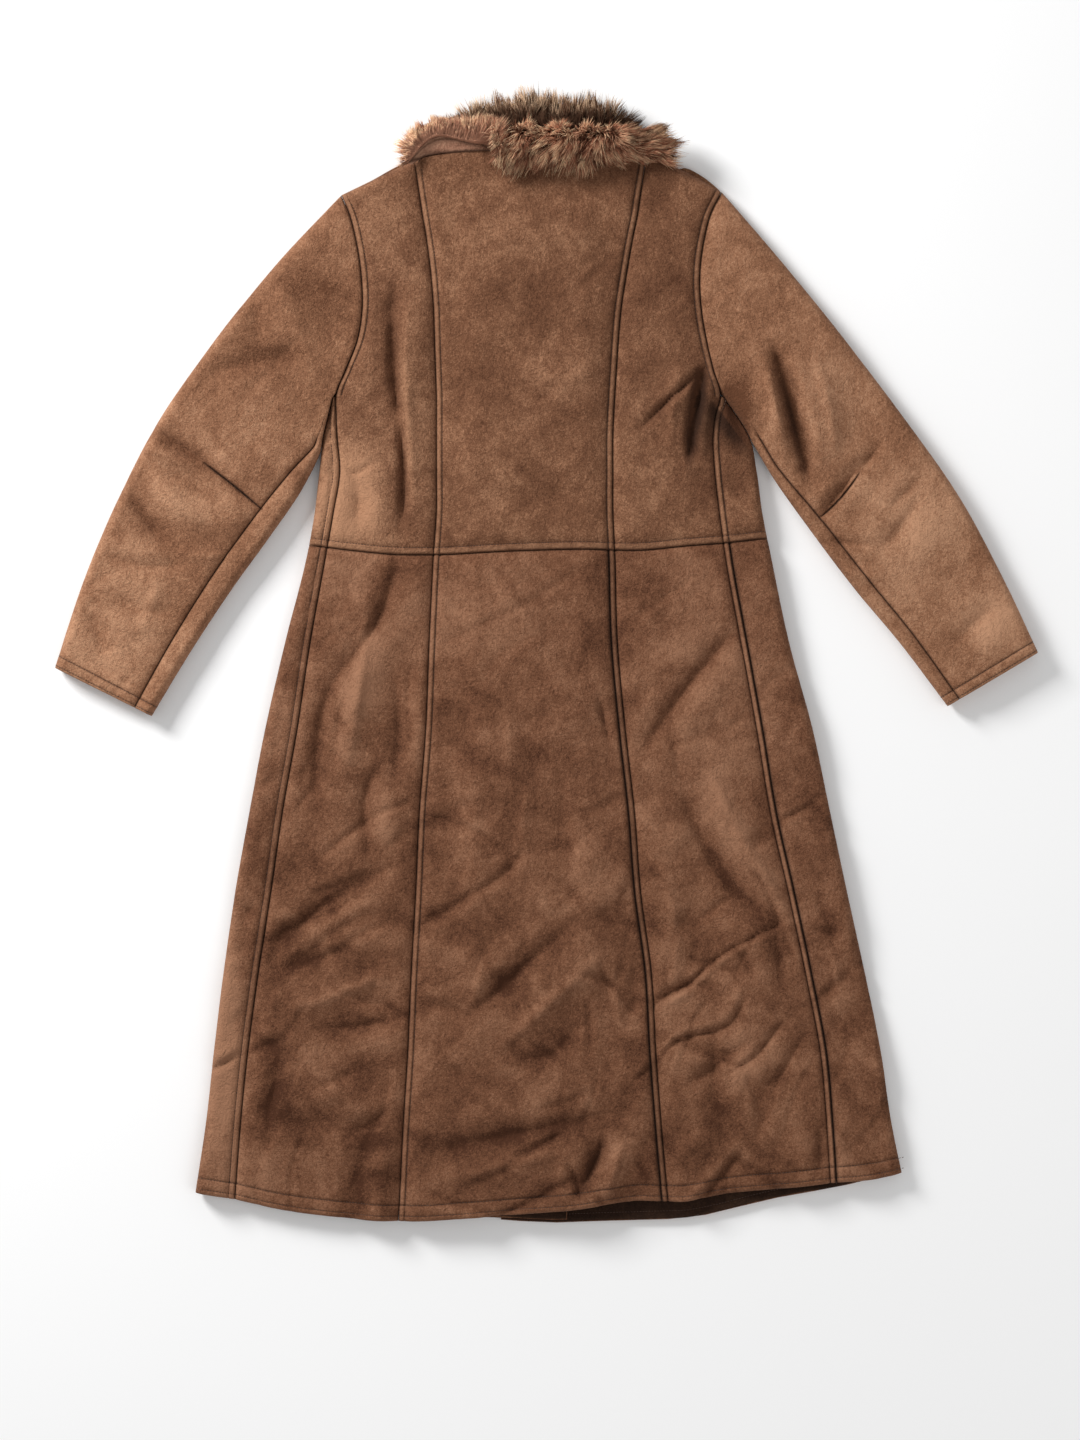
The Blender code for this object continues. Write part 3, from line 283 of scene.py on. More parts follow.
# Folds and creases: three points of each, its half width, and its height, with troughs below zero
FOLD_NAMES = ("start_x", "start_y", "bend_x", "bend_y", "end_x", "end_y", "half_width", "height")
FOLDS = Table(FOLD_NAMES, (
    # Upper back
    (-170, 420, -176, 330, -162, 260, 15, -5.0),
    (-156, 400, -157, 310, -152, 180, 15, 3.5),
    (-165, 260, -157, 200, -163, 140, 13, -4.5),
    (-215, 210, -205, 175, -212, 145, 11, -3.0),
    (176, 322, 164, 280, 158, 225, 6, -8.0),
    (177, 328, 146, 299, 108, 262, 6, -2.4),
    (150, 330, 140, 285, 138, 235, 12, 3.5),
    (60, 330, 20, 300, -30, 330, 30, 1.8),
    (-60, 480, 10, 455, 60, 480, 34, 1.8),
    (60, 190, 0, 170, -60, 190, 26, -1.8),
    # Left sleeve
    (-377, 318, -330, 335, -277, 338, 20, -3.5),
    (-467, 192, -440, 142, -405, 112, 15, -4.0),
    (-440, 215, -415, 175, -380, 150, 16, 3.5),
    (-508, 50, -500, 25, -490, 5, 16, -3.0),
    (-318, 167, -350, 194, -383, 220, 8, -4.0),
    (-300, 420, -270, 370, -262, 320, 26, 2.5),
    # Right sleeve
    (256, 342, 276, 274, 292, 205, 10, -8.0),
    (300, 335, 318, 275, 322, 225, 16, 4.0),
    (246, 320, 256, 280, 262, 240, 12, 3.5),
    (305, 158, 326, 186, 347, 212, 8, -4.0),
    (420, 190, 400, 150, 372, 120, 14, -3.0),
    (500, 60, 478, 40, 455, 20, 14, -3.0),
    # Left skirt
    (-166, 115, -178, 40, -233, -18, 13, -4.5),
    (-233, -18, -262, -60, -256, -165, 13, -4.5),
    (-200, 60, -205, -30, -222, -120, 17, 4.0),
    (-168, -18, -160, -85, -171, -137, 12, -3.5),
    (-187, -120, -214, -150, -196, -222, 12, -4.0),
    (-171, -230, -250, -270, -314, -320, 13, -4.5),
    (-219, -318, -260, -338, -295, -347, 11, -3.5),
    (-154, -396, -200, -412, -247, -413, 11, -3.5),
    (-180, -350, -230, -375, -290, -390, 15, 3.5),
    (-280, -430, -240, -470, -200, -520, 18, 2.5),
    # Middle skirt
    (32, -292, -30, -345, -95, -403, 14, -4.0),
    (60, -330, 0, -385, -60, -440, 16, 3.5),
    (-43, -418, -16, -480, 37, -408, 13, -3.5),
    (-130, -550, -20, -525, 86, -505, 14, -3.5),
    (-110, -580, -40, -560, 20, -548, 15, 3.0),
    (64, -531, 50, -570, 32, -601, 11, -6.0),
    (84, -540, 74, -575, 66, -600, 14, 4.0),
    (-60, 90, -10, 20, 40, -60, 30, 2.5),
    (-90, -120, -70, -200, -90, -280, 26, 2.5),
    (20, -120, 10, -180, 30, -240, 24, -2.5),
    # Right skirt
    (212, 34, 150, -30, 110, -101, 13, -4.5),
    (153, -152, 185, -236, 239, -288, 14, -5.0),
    (180, -120, 215, -200, 250, -250, 15, 4.0),
    (130, -220, 150, -300, 140, -380, 18, 3.0),
    (253, -292, 262, -330, 262, -370, 11, -3.0),
    (190, -400, 180, -470, 200, -540, 17, -3.0),
    (304, -521, 305, -550, 304, -575, 10, -3.5),
    (300, -260, 318, -290, 322, -320, 9, -3.0),
))

# Finer creases, laid over the folds in the same way
CREASES = Table(FOLD_NAMES, (
    # Upper back
    (-172, 372, -175, 325, -165, 275, 5, -3.5),
    (-163, 262, -156, 210, -161, 160, 5, -4.0),
    (-224, 213, -215, 199, -192, 222, 4, -1.6),
    (-222, 186, -216, 178, -205, 172, 4, -1.2),
    (172, 322, 164, 290, 160, 250, 6, -4.0),
    (172, 322, 146, 299, 104, 258, 4, -1.8),
    (166, 246, 164, 236, 166, 226, 5, -3.0),
    (204, 284, 212, 266, 224, 244, 9, -5.0),
    # Sleeves
    (-383, 220, -408, 237, -440, 255, 10, -4.5),
    (-395, 214, -420, 224, -446, 236, 10, 2.0),
    (-470, 188, -450, 158, -430, 140, 7, -1.6),
    (-415, 120, -380, 110, -350, 118, 10, 1.6),
    (-330, 405, -318, 380, -322, 350, 14, -2.2),
    (-430, 90, -440, 60, -452, 30, 16, 1.8),
    (-490, 117, -445, 95, -400, 107, 9, -2.4),
    (-478, 70, -450, 50, -420, 52, 10, -2.0),
    (252, 350, 270, 300, 281, 262, 7, -3.6),
    (284, 262, 290, 236, 292, 208, 6, -2.6),
    (349, 208, 362, 226, 372, 238, 9, -2.4),
    (308, 132, 335, 130, 372, 126, 7, -1.8),
    (330, 100, 350, 92, 374, 90, 8, 1.5),
    (418, 206, 402, 184, 380, 168, 9, -1.8),
    # Left skirt
    (-150, -8, -158, -40, -152, -82, 7, -1.8),
    (-225, -40, -236, -78, -236, -120, 6, -1.8),
    (-196, -236, -226, -250, -262, -262, 6, -1.6),
    (-206, -262, -236, -282, -280, -296, 5, -1.5),
    (-170, -292, -196, -300, -226, -316, 5, -1.4),
    (-206, -452, -226, -470, -262, -476, 8, -1.6),
    (-176, -500, -196, -520, -226, -532, 8, -1.8),
    (-300, -470, -312, -500, -310, -540, 8, -1.6),
    # Middle skirt
    (-90, -30, -92, -80, -80, -130, 12, -1.6),
    (-40, -50, -46, -100, -36, -150, 12, 1.4),
    (58, -42, 64, -66, 70, -92, 4, -2.2),
    (-20, -140, -30, -180, -22, -220, 9, 1.5),
    (-70, -338, -46, -360, -30, -386, 6, -1.5),
    (44, -380, 52, -410, 46, -446, 5, -1.5),
    (70, -340, 80, -372, 82, -410, 6, 1.5),
    (-116, -452, -90, -466, -62, -470, 8, -1.4),
    (-10, -500, 20, -496, 54, -480, 6, -1.3),
    (22, -560, 34, -576, 36, -600, 4, -2.6),
    (100, -560, 112, -572, 118, -592, 5, -2.0),
    # Right skirt
    (136, -76, 146, -104, 150, -136, 8, -1.8),
    (196, -172, 214, -196, 236, -214, 6, -1.6),
    (226, -232, 238, -244, 250, -262, 4, -2.2),
    (258, -300, 268, -312, 276, -334, 4, -2.0),
    (160, -330, 190, -346, 226, -350, 8, -1.6),
    (150, -420, 176, -438, 206, -440, 8, -1.5),
    (156, -474, 190, -455, 226, -424, 9, -3.0),
    (115, -394, 150, -350, 182, -368, 7, -2.6),
    (208, -322, 222, -330, 230, -352, 5, -2.2),
    (242, -261, 256, -272, 259, -300, 5, -2.4),
    (220, -460, 240, -486, 236, -520, 8, -1.6),
    (270, -560, 278, -572, 286, -574, 4, -1.6),
    (300, -300, 312, -306, 326, -304, 5, -1.6),
    (318, -330, 326, -350, 326, -376, 7, 1.5),
))
# Painted shadows in hollows too deep for the light, on the left of their lines: half width, and how black they are
SHADOWS = Table(FOLD_NAMES, (
    (176, 328, 170, 290, 160, 254, 9, 1.0),
    (160, 264, 157, 238, 155, 212, 8, 0.75),
    (171, 298, 163, 262, 160, 226, 22, 0.6),
    (175, 326, 146, 299, 108, 262, 3, 0.15),
    (228, 231, 206, 263, 184, 290, 11, 1.0),
    (214, 240, 200, 262, 186, 284, 18, 0.45),
    (293, 203, 281, 252, 264, 320, 13, 0.6),
    (286, 240, 276, 272, 266, 318, 5, 0.4),
    (64, -531, 50, -570, 32, -601, 6, 0.35),
    (304, -521, 305, -550, 304, -575, 6, 0.3),
    (-236, -24, -226, 2, -212, 28, 8, 0.2),
))
FOLD_STEPS = 6
FOLD_REACH = 4.4

# Places where the suede is lighter (above zero) or darker, with how far each one reaches; the darkest spots by the
# right armpit are painted shade
TONES = Table(("x", "y", "reach_x", "reach_y", "amount"), (
    (-222, 182, 34, 60, 2.3),
    (-160, 250, 26, 70, 0.25),
    (-175, 470, 34, 50, 0.35),
    (-275, 400, 44, 44, -0.8),
    (-268, 300, 40, 40, -0.35),
    (-330, 330, 50, 40, -0.2),
    (-397, 180, 42, 36, 0.45),
    (-470, 100, 46, 60, 0.4),
    (-490, 10, 46, 50, 0.8),
    (-420, 10, 30, 40, 0.35),
    (10, 400, 80, 60, -0.36),
    (-30, 500, 90, 40, 0.05),
    (30, 200, 80, 60, 0.12),
    (145, 400, 30, 70, -0.4),
    # Painted shade in the hollows by the right armpit and beside the sleeve
    (160, 250, 40, 60, -0.5),
    (171, 302, 6, 20, -1.5),
    (165, 272, 4, 20, -1.2),
    (214, 270, 14, 34, -2.2),
    (204, 291, 9, 12, -1.5),
    (225, 170, 16, 40, 0.2),
    (255, 320, 44, 44, -0.25),
    (340, 300, 40, 60, 0.7),
    (400, 150, 60, 60, 1.2),
    (500, 40, 52, 46, 1.4),
    (380, 60, 40, 46, 0.6),
    (-70, 30, 80, 70, 0.4),
    (-200, -20, 50, 70, 0.65),
    (60, 60, 50, 50, -0.15),
    (170, 60, 40, 60, 0.55),
    (200, -150, 60, 130, 0.5),
    (-280, -120, 40, 120, 0.12),
    (-210, -200, 60, 80, 0.1),
    (-305, -470, 34, 80, -0.55),
    (-312, -575, 24, 40, 0.9),
    (-362, -430, 24, 200, 2.1),
    (-220, -540, 80, 60, -0.3),
    (0, -520, 120, 80, -0.3),
    (200, -430, 70, 90, 0.15),
    (340, -420, 40, 110, 0.2),
    (350, -560, 50, 40, 0.15),
))

# Fur: where its hairs point, and how much they stand up
FLOW_NAMES = ("x", "y", "flow_x", "flow_y", "lift")
FALL_FLOW = Table(FLOW_NAMES, (
    (-157, 552, -0.75, -0.50, 0.20),
    (-163, 560, -0.85, 0.05, 0.22),
    (-152, 572, -0.80, 0.45, 0.24),
    (-141, 583, -0.45, 0.80, 0.24),
    (-120, 592, -0.10, 0.95, 0.24),
    (-100, 590, 0.15, 0.92, 0.26),
    (-80, 586, 0.35, 0.80, 0.28),
    (-64, 578, 0.45, 0.60, 0.30),
    (-84, 602, 0.45, 0.75, 0.30),
    (-45, 594, -0.60, -0.60, 0.36),
    (-40, 575, -0.50, -0.75, 0.28),
    (-30, 552, -0.45, -0.85, 0.20),
    (-20, 597, 0.45, 0.70, 0.50),
    (-5, 582, -0.55, -0.74, 0.36),
    (0, 566, -0.35, -0.90, 0.24),
    (5, 549, 0.25, -0.85, 0.18),
    (2, 597, 0.45, 0.70, 0.50),
    (26, 596, 0.45, 0.70, 0.50),
    (30, 582, -0.50, -0.78, 0.36),
    (35, 566, -0.05, -0.95, 0.24),
    (40, 549, 0.75, -0.60, 0.18),
    (48, 596, 0.50, 0.65, 0.50),
    (68, 596, 0.50, 0.65, 0.40),
    (60, 582, -0.10, -0.85, 0.36),
    (66, 566, 0.60, -0.65, 0.24),
    (80, 550, 0.90, -0.35, 0.18),
    (85, 590, 0.70, 0.30, 0.32),
    (92, 575, 0.90, -0.10, 0.26),
    (108, 584, 0.85, 0.30, 0.26),
    (115, 560, 0.95, -0.25, 0.20),
    (132, 572, 0.92, 0.20, 0.22),
    (140, 556, 0.95, -0.20, 0.18),
))
INNER_FLOW = Table(FLOW_NAMES, (
    (-110, 596, -0.65, 0.75, 0.30),
    (-60, 610, -0.10, 1.00, 0.34),
    (0, 616, -0.05, 1.00, 0.34),
    (50, 612, 0.15, 1.00, 0.34),
    (95, 596, 0.65, 0.75, 0.30),
))
COLLAR_FALL = Table(("x", "lower", "upper", "depth"), (
    (-163, 551, 558, 6),
    (-157, 553, 572, 14),
    (-148, 560, 586, 18),
    (-136, 571, 601, 20),
    (-120, 579, 606, 21),
    (-102, 579, 606, 22),
    (-83, 576, 602, 23),
    (-65, 569, 599, 24),
    (-50, 554, 597, 25),
    (-38, 541, 596, 26),
    (-25, 534, 595, 26),
    (-7, 541, 594, 26),
    (20, 541, 593, 26),
    (48, 539, 593, 26),
    (72, 540, 595, 25),
    (92, 547, 598, 24),
    (113, 553, 597, 22),
    (128, 550, 585, 19),
    (140, 548, 574, 15),
    (149, 550, 563, 6),
))
# How far in from the fall's lower edge its wool starts
FALL_INSET = Table(("x", "inset"), ((-163, -3.0), (-154, -2.0), (-145, 1.5), (-70, 1.5), (-48, 13.0),
                                    (94, 12.0), (114, 5.0), (149, 3.0)))
# Which way the fall's wool leans: below 1 it is highest near its lower edge, above 1 near its upper one
FALL_LEAN = Table(("x", "lean"), ((-163, 0.45), (-78, 0.45), (-46, 2.4), (74, 2.4), (100, 1.0),
                                  (149, 1.0)))
COLLAR_INNER = Table(("x", "upper"), ((-118, 592), (-106, 611), (-76, 621), (-50, 625), (-13, 632), (15, 628),
                                      (46, 626), (64, 624), (81, 613), (98, 596)))
UNDERCOLLAR = Table(("x", "upper"), ((-155, 558), (-148, 570), (-136, 580), (-120, 586), (-102, 586),
                                     (-83, 584), (-65, 580), (-52, 576)))


class Creased:
    """Height of a table of folds at any point."""

    def __init__(self, table: Table) -> None:
        """Keep each fold as a short chain of straight steps."""
        self.folds = []
        part = np.linspace(0.0, 1.0, FOLD_STEPS + 1)
        for fold in table.records():
            line = [(1 - part) ** 2 * fold["start_" + axis] + 2 * part * (1 - part) * fold["bend_" + axis]
                    + part ** 2 * fold["end_" + axis] for axis in XY]
            self.folds.append((line, float(fold["half_width"]), float(fold["height"])))

    def __call__(self, x: Points, y: Points) -> Points:
        """Add up the folds at each point.

        Args:
            x: places across.
            y: places up the coat.

        Returns:
            Height over the plain cloth.
        """
        total = np.zeros(x.shape)
        for (line_x, line_y), half_width, height in self.folds:
            reach = FOLD_REACH * half_width
            near = ((x > line_x.min() - reach) & (x < line_x.max() + reach)
                    & (y > line_y.min() - reach) & (y < line_y.max() + reach))
            if near.any():
                total[near] += height * self.share(x[near], y[near], line_x, line_y, half_width)
        return total

    @staticmethod
    def measure(x: Points, y: Points, line_x: Points, line_y: Points) -> tuple[Points, Points]:
        """Return each point's distance from a line, below zero on its left, and how far the line has faded."""
        nearest = np.full(x.shape, 1e9)
        along = np.zeros(x.shape)
        for step in range(FOLD_STEPS):
            run_x = line_x[step + 1] - line_x[step]
            run_y = line_y[step + 1] - line_y[step]
            part = ((x - line_x[step]) * run_x + (y - line_y[step]) * run_y) / (run_x ** 2 + run_y ** 2)
            part = np.clip(part, 0.0, 1.0)
            away = np.hypot(x - line_x[step] - part * run_x, y - line_y[step] - part * run_y)
            closer = away < nearest
            nearest = np.where(closer, away, nearest)
            along = np.where(closer, (step + part) / FOLD_STEPS, along)
        fade = 0.2 + 0.8 * np.sin(math.pi * along) ** 0.7
        side = (x - line_x[0]) * (line_y[-1] - line_y[0]) - (y - line_y[0]) * (line_x[-1] - line_x[0])
        return np.where(side > 0.0, nearest, -nearest), fade

    def share(self, x: Points, y: Points, line_x: Points, line_y: Points, half_width: float) -> Points:
        """Return how much of one fold's height each point has."""
        signed, fade = self.measure(x, y, line_x, line_y)
        nearest = np.abs(signed)
        trough = 0.65 * bell(nearest, 0.9 * half_width) + 0.5 * bell(nearest, 0.36 * half_width)
        beside = 0.2 * bell(signed - 2.0 * half_width, 1.2 * half_width)
        beside = beside + 0.42 * bell(signed + 2.0 * half_width, 1.2 * half_width)
        return 1.5 * fade * (trough - beside)


class Hollowed(Creased):
    """Painted shadow of a table of hollows, each sharp along its line and fading out on the line's left."""

    sharp: float = 1.6

    def share(self, x: Points, y: Points, line_x: Points, line_y: Points, half_width: float) -> Points:
        """Return how much of one hollow's painted shadow each point has."""
        signed, fade = self.measure(x, y, line_x, line_y)
        return fade * smooth((self.sharp - signed) / (2.0 * self.sharp)) * bell(np.minimum(signed, 0.0), half_width)


@dataclass(frozen=True)
class SuedeRelief:
    """Soft unevenness that all the suede has: broad swells and small ripples."""

    swell: float = 1.7
    swell_step: float = 58.0
    ripple: float = 0.55
    ripple_step: float = 17.0
    low_gain: float = 1.1
    low_start: float = -120.0
    low_reach: float = 260.0
    seed: int = 11

    def __call__(self, x: Points, y: Points) -> Points:
        """Return the height at each point."""
        clouds = Clouds(self.seed)
        turned = 0.86 * x + 0.51 * y
        along = 0.86 * y - 0.51 * x
        swell = self.swell * (1.0 + self.low_gain * smooth((self.low_start - y) / self.low_reach))
        return (swell * clouds(turned, along, self.swell_step, 1.3 * self.swell_step)
                + self.ripple * clouds(along, turned, self.ripple_step, 1.6 * self.ripple_step))


@dataclass(frozen=True)
class Crumple:
    """Fine creases that wander through the suede, most of them low on the skirt."""

    depth: float
    turn: float
    seed: int
    sharp: float = 0.16
    long: float = 200.0
    short: float = 46.0
    warp: float = 13.0
    warp_step: float = 70.0
    gather: float = 62.0
    least: float = 0.28
    low_start: float = 40.0
    low_reach: float = 380.0

    def __call__(self, x: Points, y: Points) -> Points:
        """Return the creases' height at each point."""
        bent = self.warp * Clouds(self.seed + 2)(x, y, self.warp_step, self.warp_step)
        along = math.cos(self.turn) * x + math.sin(self.turn) * y + bent
        across = math.cos(self.turn) * y - math.sin(self.turn) * x + bent
        level = Clouds(self.seed)(along, across, self.long, self.short)
        crease = 0.55 * bell(level, self.sharp) + 0.45 * np.exp(-np.abs(level) / (0.7 * self.sharp))
        crease = crease - 0.45 * bell(level - 2.3 * self.sharp, 1.3 * self.sharp)
        there = smooth(0.5 + 1.5 * Clouds(self.seed + 1)(x, y, self.gather, self.gather))
        region = self.least + (1.0 - self.least) * smooth((self.low_start - y) / self.low_reach)
        return -self.depth * crease * there * region


CRUMPLES = (Crumple(4.6, 0.62, 17), Crumple(3.4, -0.5, 31), Crumple(1.5, 1.3, 44, long=90.0, short=26.0))


def crumpled(x: Points, y: Points) -> Points:
    """Add up the fine creases."""
    return sum(crumple(x, y) for crumple in CRUMPLES)


@dataclass(frozen=True)
class BodyForm:
    """The form of the coat's body: its walls, its lap, its puffed panels and its sewn seams."""

    front_wall: float = 8.0
    back_wall: float = 8.0
    layer_gap: float = 0.6
    half_gap: float = 0.15
    puff: float = 4.5
    puff_reach: float = 24.0
    seam_sink: float = 2.6
    edge_sink: float = 1.0
    seam_width: float = 8.0
    lap_wall: float = 6.0
    lap_left: float = -108.0
    lap_left_ease: float = 34.0
    lap_right: float = 74.0
    lap_right_ease: float = 36.0
    lap_top: float = 532.0
    lap_top_ease: float = 50.0
    welt: float = 1.2
    pillow: float = 1.1
    pillow_ease: float = 7.0
    pillow_reach: float = 34.0
    line_depth: float = 1.9
    line_width: float = 1.3
    least_wall: float = 2.6
    armpit: float = 293.0
    waist_stitch: float = 8.0
    folds: Creased = Creased(FOLDS)
    creases: Creased = Creased(CREASES)
    shadows: Creased = Hollowed(SHADOWS)
    uneven: SuedeRelief = SuedeRelief()

    @property
    def back_top(self) -> float:
        """Plain height of the back's upper face."""
        return self.front_wall + self.layer_gap + self.back_wall

    @property
    def lap_height(self) -> float:
        """How much higher the back lies over the lapped fronts."""
        return 2.0 * self.lap_wall + 2.0 * self.half_gap - self.front_wall

    def lap_rise(self, x: Points, y: Points) -> Points:
        """Rise of the back over the lapped fronts."""
        across = smooth((x - self.lap_left) / self.lap_left_ease)
        across = across * smooth((self.lap_right - x) / self.lap_right_ease)
        return self.lap_height * across * smooth((self.lap_top - y) / self.lap_top_ease)

    def seam_distance(self, x: Points, y: Points) -> Points:
        """Distance to the nearest seam."""
        distance = np.abs(y - WAIST(x))
        for name in SEWN.row_names():
            distance = np.minimum(distance, np.abs(x - SEAMS[name](y)))
        return distance

    def under(self, x: Points, y: Points) -> Points:
        """Height of the back's underside, which follows a small share of the relief above it."""
        distance = self.seam_distance(x, y)
        relief = (self.puff * (1.0 - np.exp(-distance / self.puff_reach))
                  - self.seam_sink * bell(distance, self.seam_width) + self.folds(x, y))
        rise = np.clip(0.25 * (relief + self.seam_sink), 0.0, 3.0)
        return self.front_wall + self.layer_gap + self.lap_rise(x, y) + rise

    def signed_seams(self, x: Points, y: Points) -> list[tuple[Points, float, Points, Points]]:
        """Return each seam's distance on its stitched side, and its stitches' distance, depth and darkness, part of
        it painted shade.
        """
        found = []
        for row in SEWN.records():
            facing = float(row["stitched"])
            if row["seam"].endswith("side"):
                facing = np.where(y > self.armpit, -facing, facing)
            above = y > WAIST(x)
            deep = np.where(above, row["deep_above"], row["deep_below"])
            dark = np.where(above, row["dark_above"], row["dark_below"])
            found.append(((x - SEAMS[row["seam"]](y)) * facing, float(row["stitch"]), deep, dark))
        found.append((y - WAIST(x), self.waist_stitch, np.full(x.shape, 0.6), np.full(x.shape, 0.1)))
        return found

    def seam_relief(self, past: Points, away: Points) -> Points:
        """Relief of one seam: the suede swells past its stitches, and its line is sunk."""
        return (self.pillow * smooth(past / self.pillow_ease) * bell(past, self.pillow_reach)
                - self.line_depth * bell(away, self.line_width))

    def sewn(self, x: Points, y: Points) -> Points:
        """Relief of the seams: the sunk line, the raised welt beside it and the drawn-in stitches."""
        total = np.zeros(x.shape)
        for away, stitch, deep, _ in self.signed_seams(x, y):
            welt = smooth(away / 1.8) * smooth((stitch - away) / 1.8)
            past = np.where(away > 0.0, away - stitch, -away)
            total += self.welt * welt + self.seam_relief(past, away) - deep * bell(away - stitch, 0.9)
        return total

    def top(self, x: Points, y: Points) -> Points:
        """Height of the body's upper face."""
        distance = self.seam_distance(x, y)
        plain = self.back_top + self.lap_rise(x, y)
        puffed = (self.puff * (1.0 - np.exp(-distance / self.puff_reach))
                  - self.edge_sink * bell(distance, self.seam_width))
        flat = smooth((distance - 2.0) / 20.0)
        height = (plain + puffed + self.folds(x, y) + self.creases(x, y) + self.sewn(x, y)
                  + (self.uneven(x, y) + crumpled(x, y)) * flat)
        return np.maximum(height, self.under(x, y) + self.least_wall)

    def marks(self, x: Points, y: Points) -> Marks:
        """Return the suede's marks: its tone, with painted shading of its folds; its dark lines, which are sewn lines
        and painted shadows; and its worn welts.
        """
        # Painted shadows of the hollows start the dark lines.
        line = np.clip(self.shadows(x, y), 0.0, 0.95)
        worn = np.zeros(x.shape)
        for away, stitch, _, dark in self.signed_seams(x, y):
            line = np.maximum(line, (0.8 - 0.25 * dark) * bell(away, 0.8))
            # The dark line along the stitches, wider where it is darker: the stitched line with painted shade in its
            # groove, most of all below the waist on the right.
            line = np.maximum(line, dark * bell(away - stitch, 1.0 + 0.9 * dark ** 2))
            worn = np.maximum(worn, smooth((away - 0.8) / 1.2) * smooth((stitch - 0.8 - away) / 1.6))
        return {"tone": cloth_tone(x, y, self.folds(x, y) + self.creases(x, y)), "line": line, "worn": worn}


def cloth_tone(x: Points, y: Points, relief: Points) -> Points:
    """Return how light the suede is: its own lighter and darker places, and painted shading of its folds.

    Args:
        x: places across.
        y: places up the coat.
        relief: height of the folds there.

    Returns:
        Tone, 0 for plain suede.
    """
    gain = 0.09 + 0.04 * smooth(-y / 300.0)
    # Painted shading of the folds: darker in the troughs, lighter on the ridges, most of all low on the skirt.
    tone = gain * np.clip(relief + crumpled(x, y), -14.0, 4.5)
    for spot in TONES.records():
        tone = tone + spot["amount"] * (bell(x - spot["x"], spot["reach_x"]) * bell(y - spot["y"], spot["reach_y"]))
    return tone


class Spacing:
    """Places from 0 to a length, close together at both ends."""

    def __init__(self, longest: float, low: Sequence[float], high: Sequence[float], step: float) -> None:
        """Settle the places.

        Args:
            longest: the greatest length that they will span.
            low: places near the start.
            high: distances in from the end.
            step: greatest step between them.
        """
        self.ends = float(low[-1] + high[-1])
        count = max(2, math.ceil((longest - self.ends) / step))
        middle = np.linspace(0.0, 1.0, count + 1)[1:-1]
        near = np.array(low, dtype=float)
        far = np.array(high, dtype=float)[::-1]
        self.fixed = np.concatenate([near, near[-1] - self.ends * middle, -far])
        self.share = np.concatenate([np.zeros(len(near)), middle, np.ones(len(far))])

    def __call__(self, length: Points) -> Points:
        """Return the places for each length, which has one column for each place or a single one."""
        scale = np.minimum(1.0, length / (1.5 * self.ends + 1e-9))
        return self.fixed * scale + self.share * length

    def rows(self, length: Points) -> Points:
        """Return the places down the rows for a length that each column has."""
        scale = np.minimum(1.0, length / (1.5 * self.ends + 1e-9))
        return self.fixed[:, None] * scale + self.share[:, None] * length


@dataclass(frozen=True)
class Steps:
    """How finely the suede is divided."""

    middle: float = 3.2
    coarse: int = 4
    seam: tuple[float, ...] = (0.0, 0.5, 1.1, 1.9, 3.0, 4.3, 5.3, 6.0, 6.6, 7.3, 8.4, 10.4, 13.0)
    waist: tuple[float, ...] = (0.0, 0.5, 1.1, 1.9, 3.2, 4.8, 6.4, 7.3, 8.0, 8.7, 10.0, 12.5)
    hem: tuple[float, ...] = (0.0, 0.3, 0.9, 1.8, 3.2, 4.8, 5.4, 6.0, 6.6, 7.6, 10.0, 13.0, 15.6, 16.8, 17.6, 18.4,
                              19.4, 21.5)
    cuff: tuple[float, ...] = (0.0, 0.3, 0.9, 1.8, 2.6, 3.2, 3.8, 4.6, 6.5, 9.0, 11.5, 12.8, 13.6, 14.4, 15.4, 18.0)
    dart: tuple[float, ...] = (-7.0, -4.4, -2.8, -1.7, -0.8, 0.0, 0.8, 1.7, 2.8, 4.4, 7.0)
    roll: int = 12


STEPS = Steps()


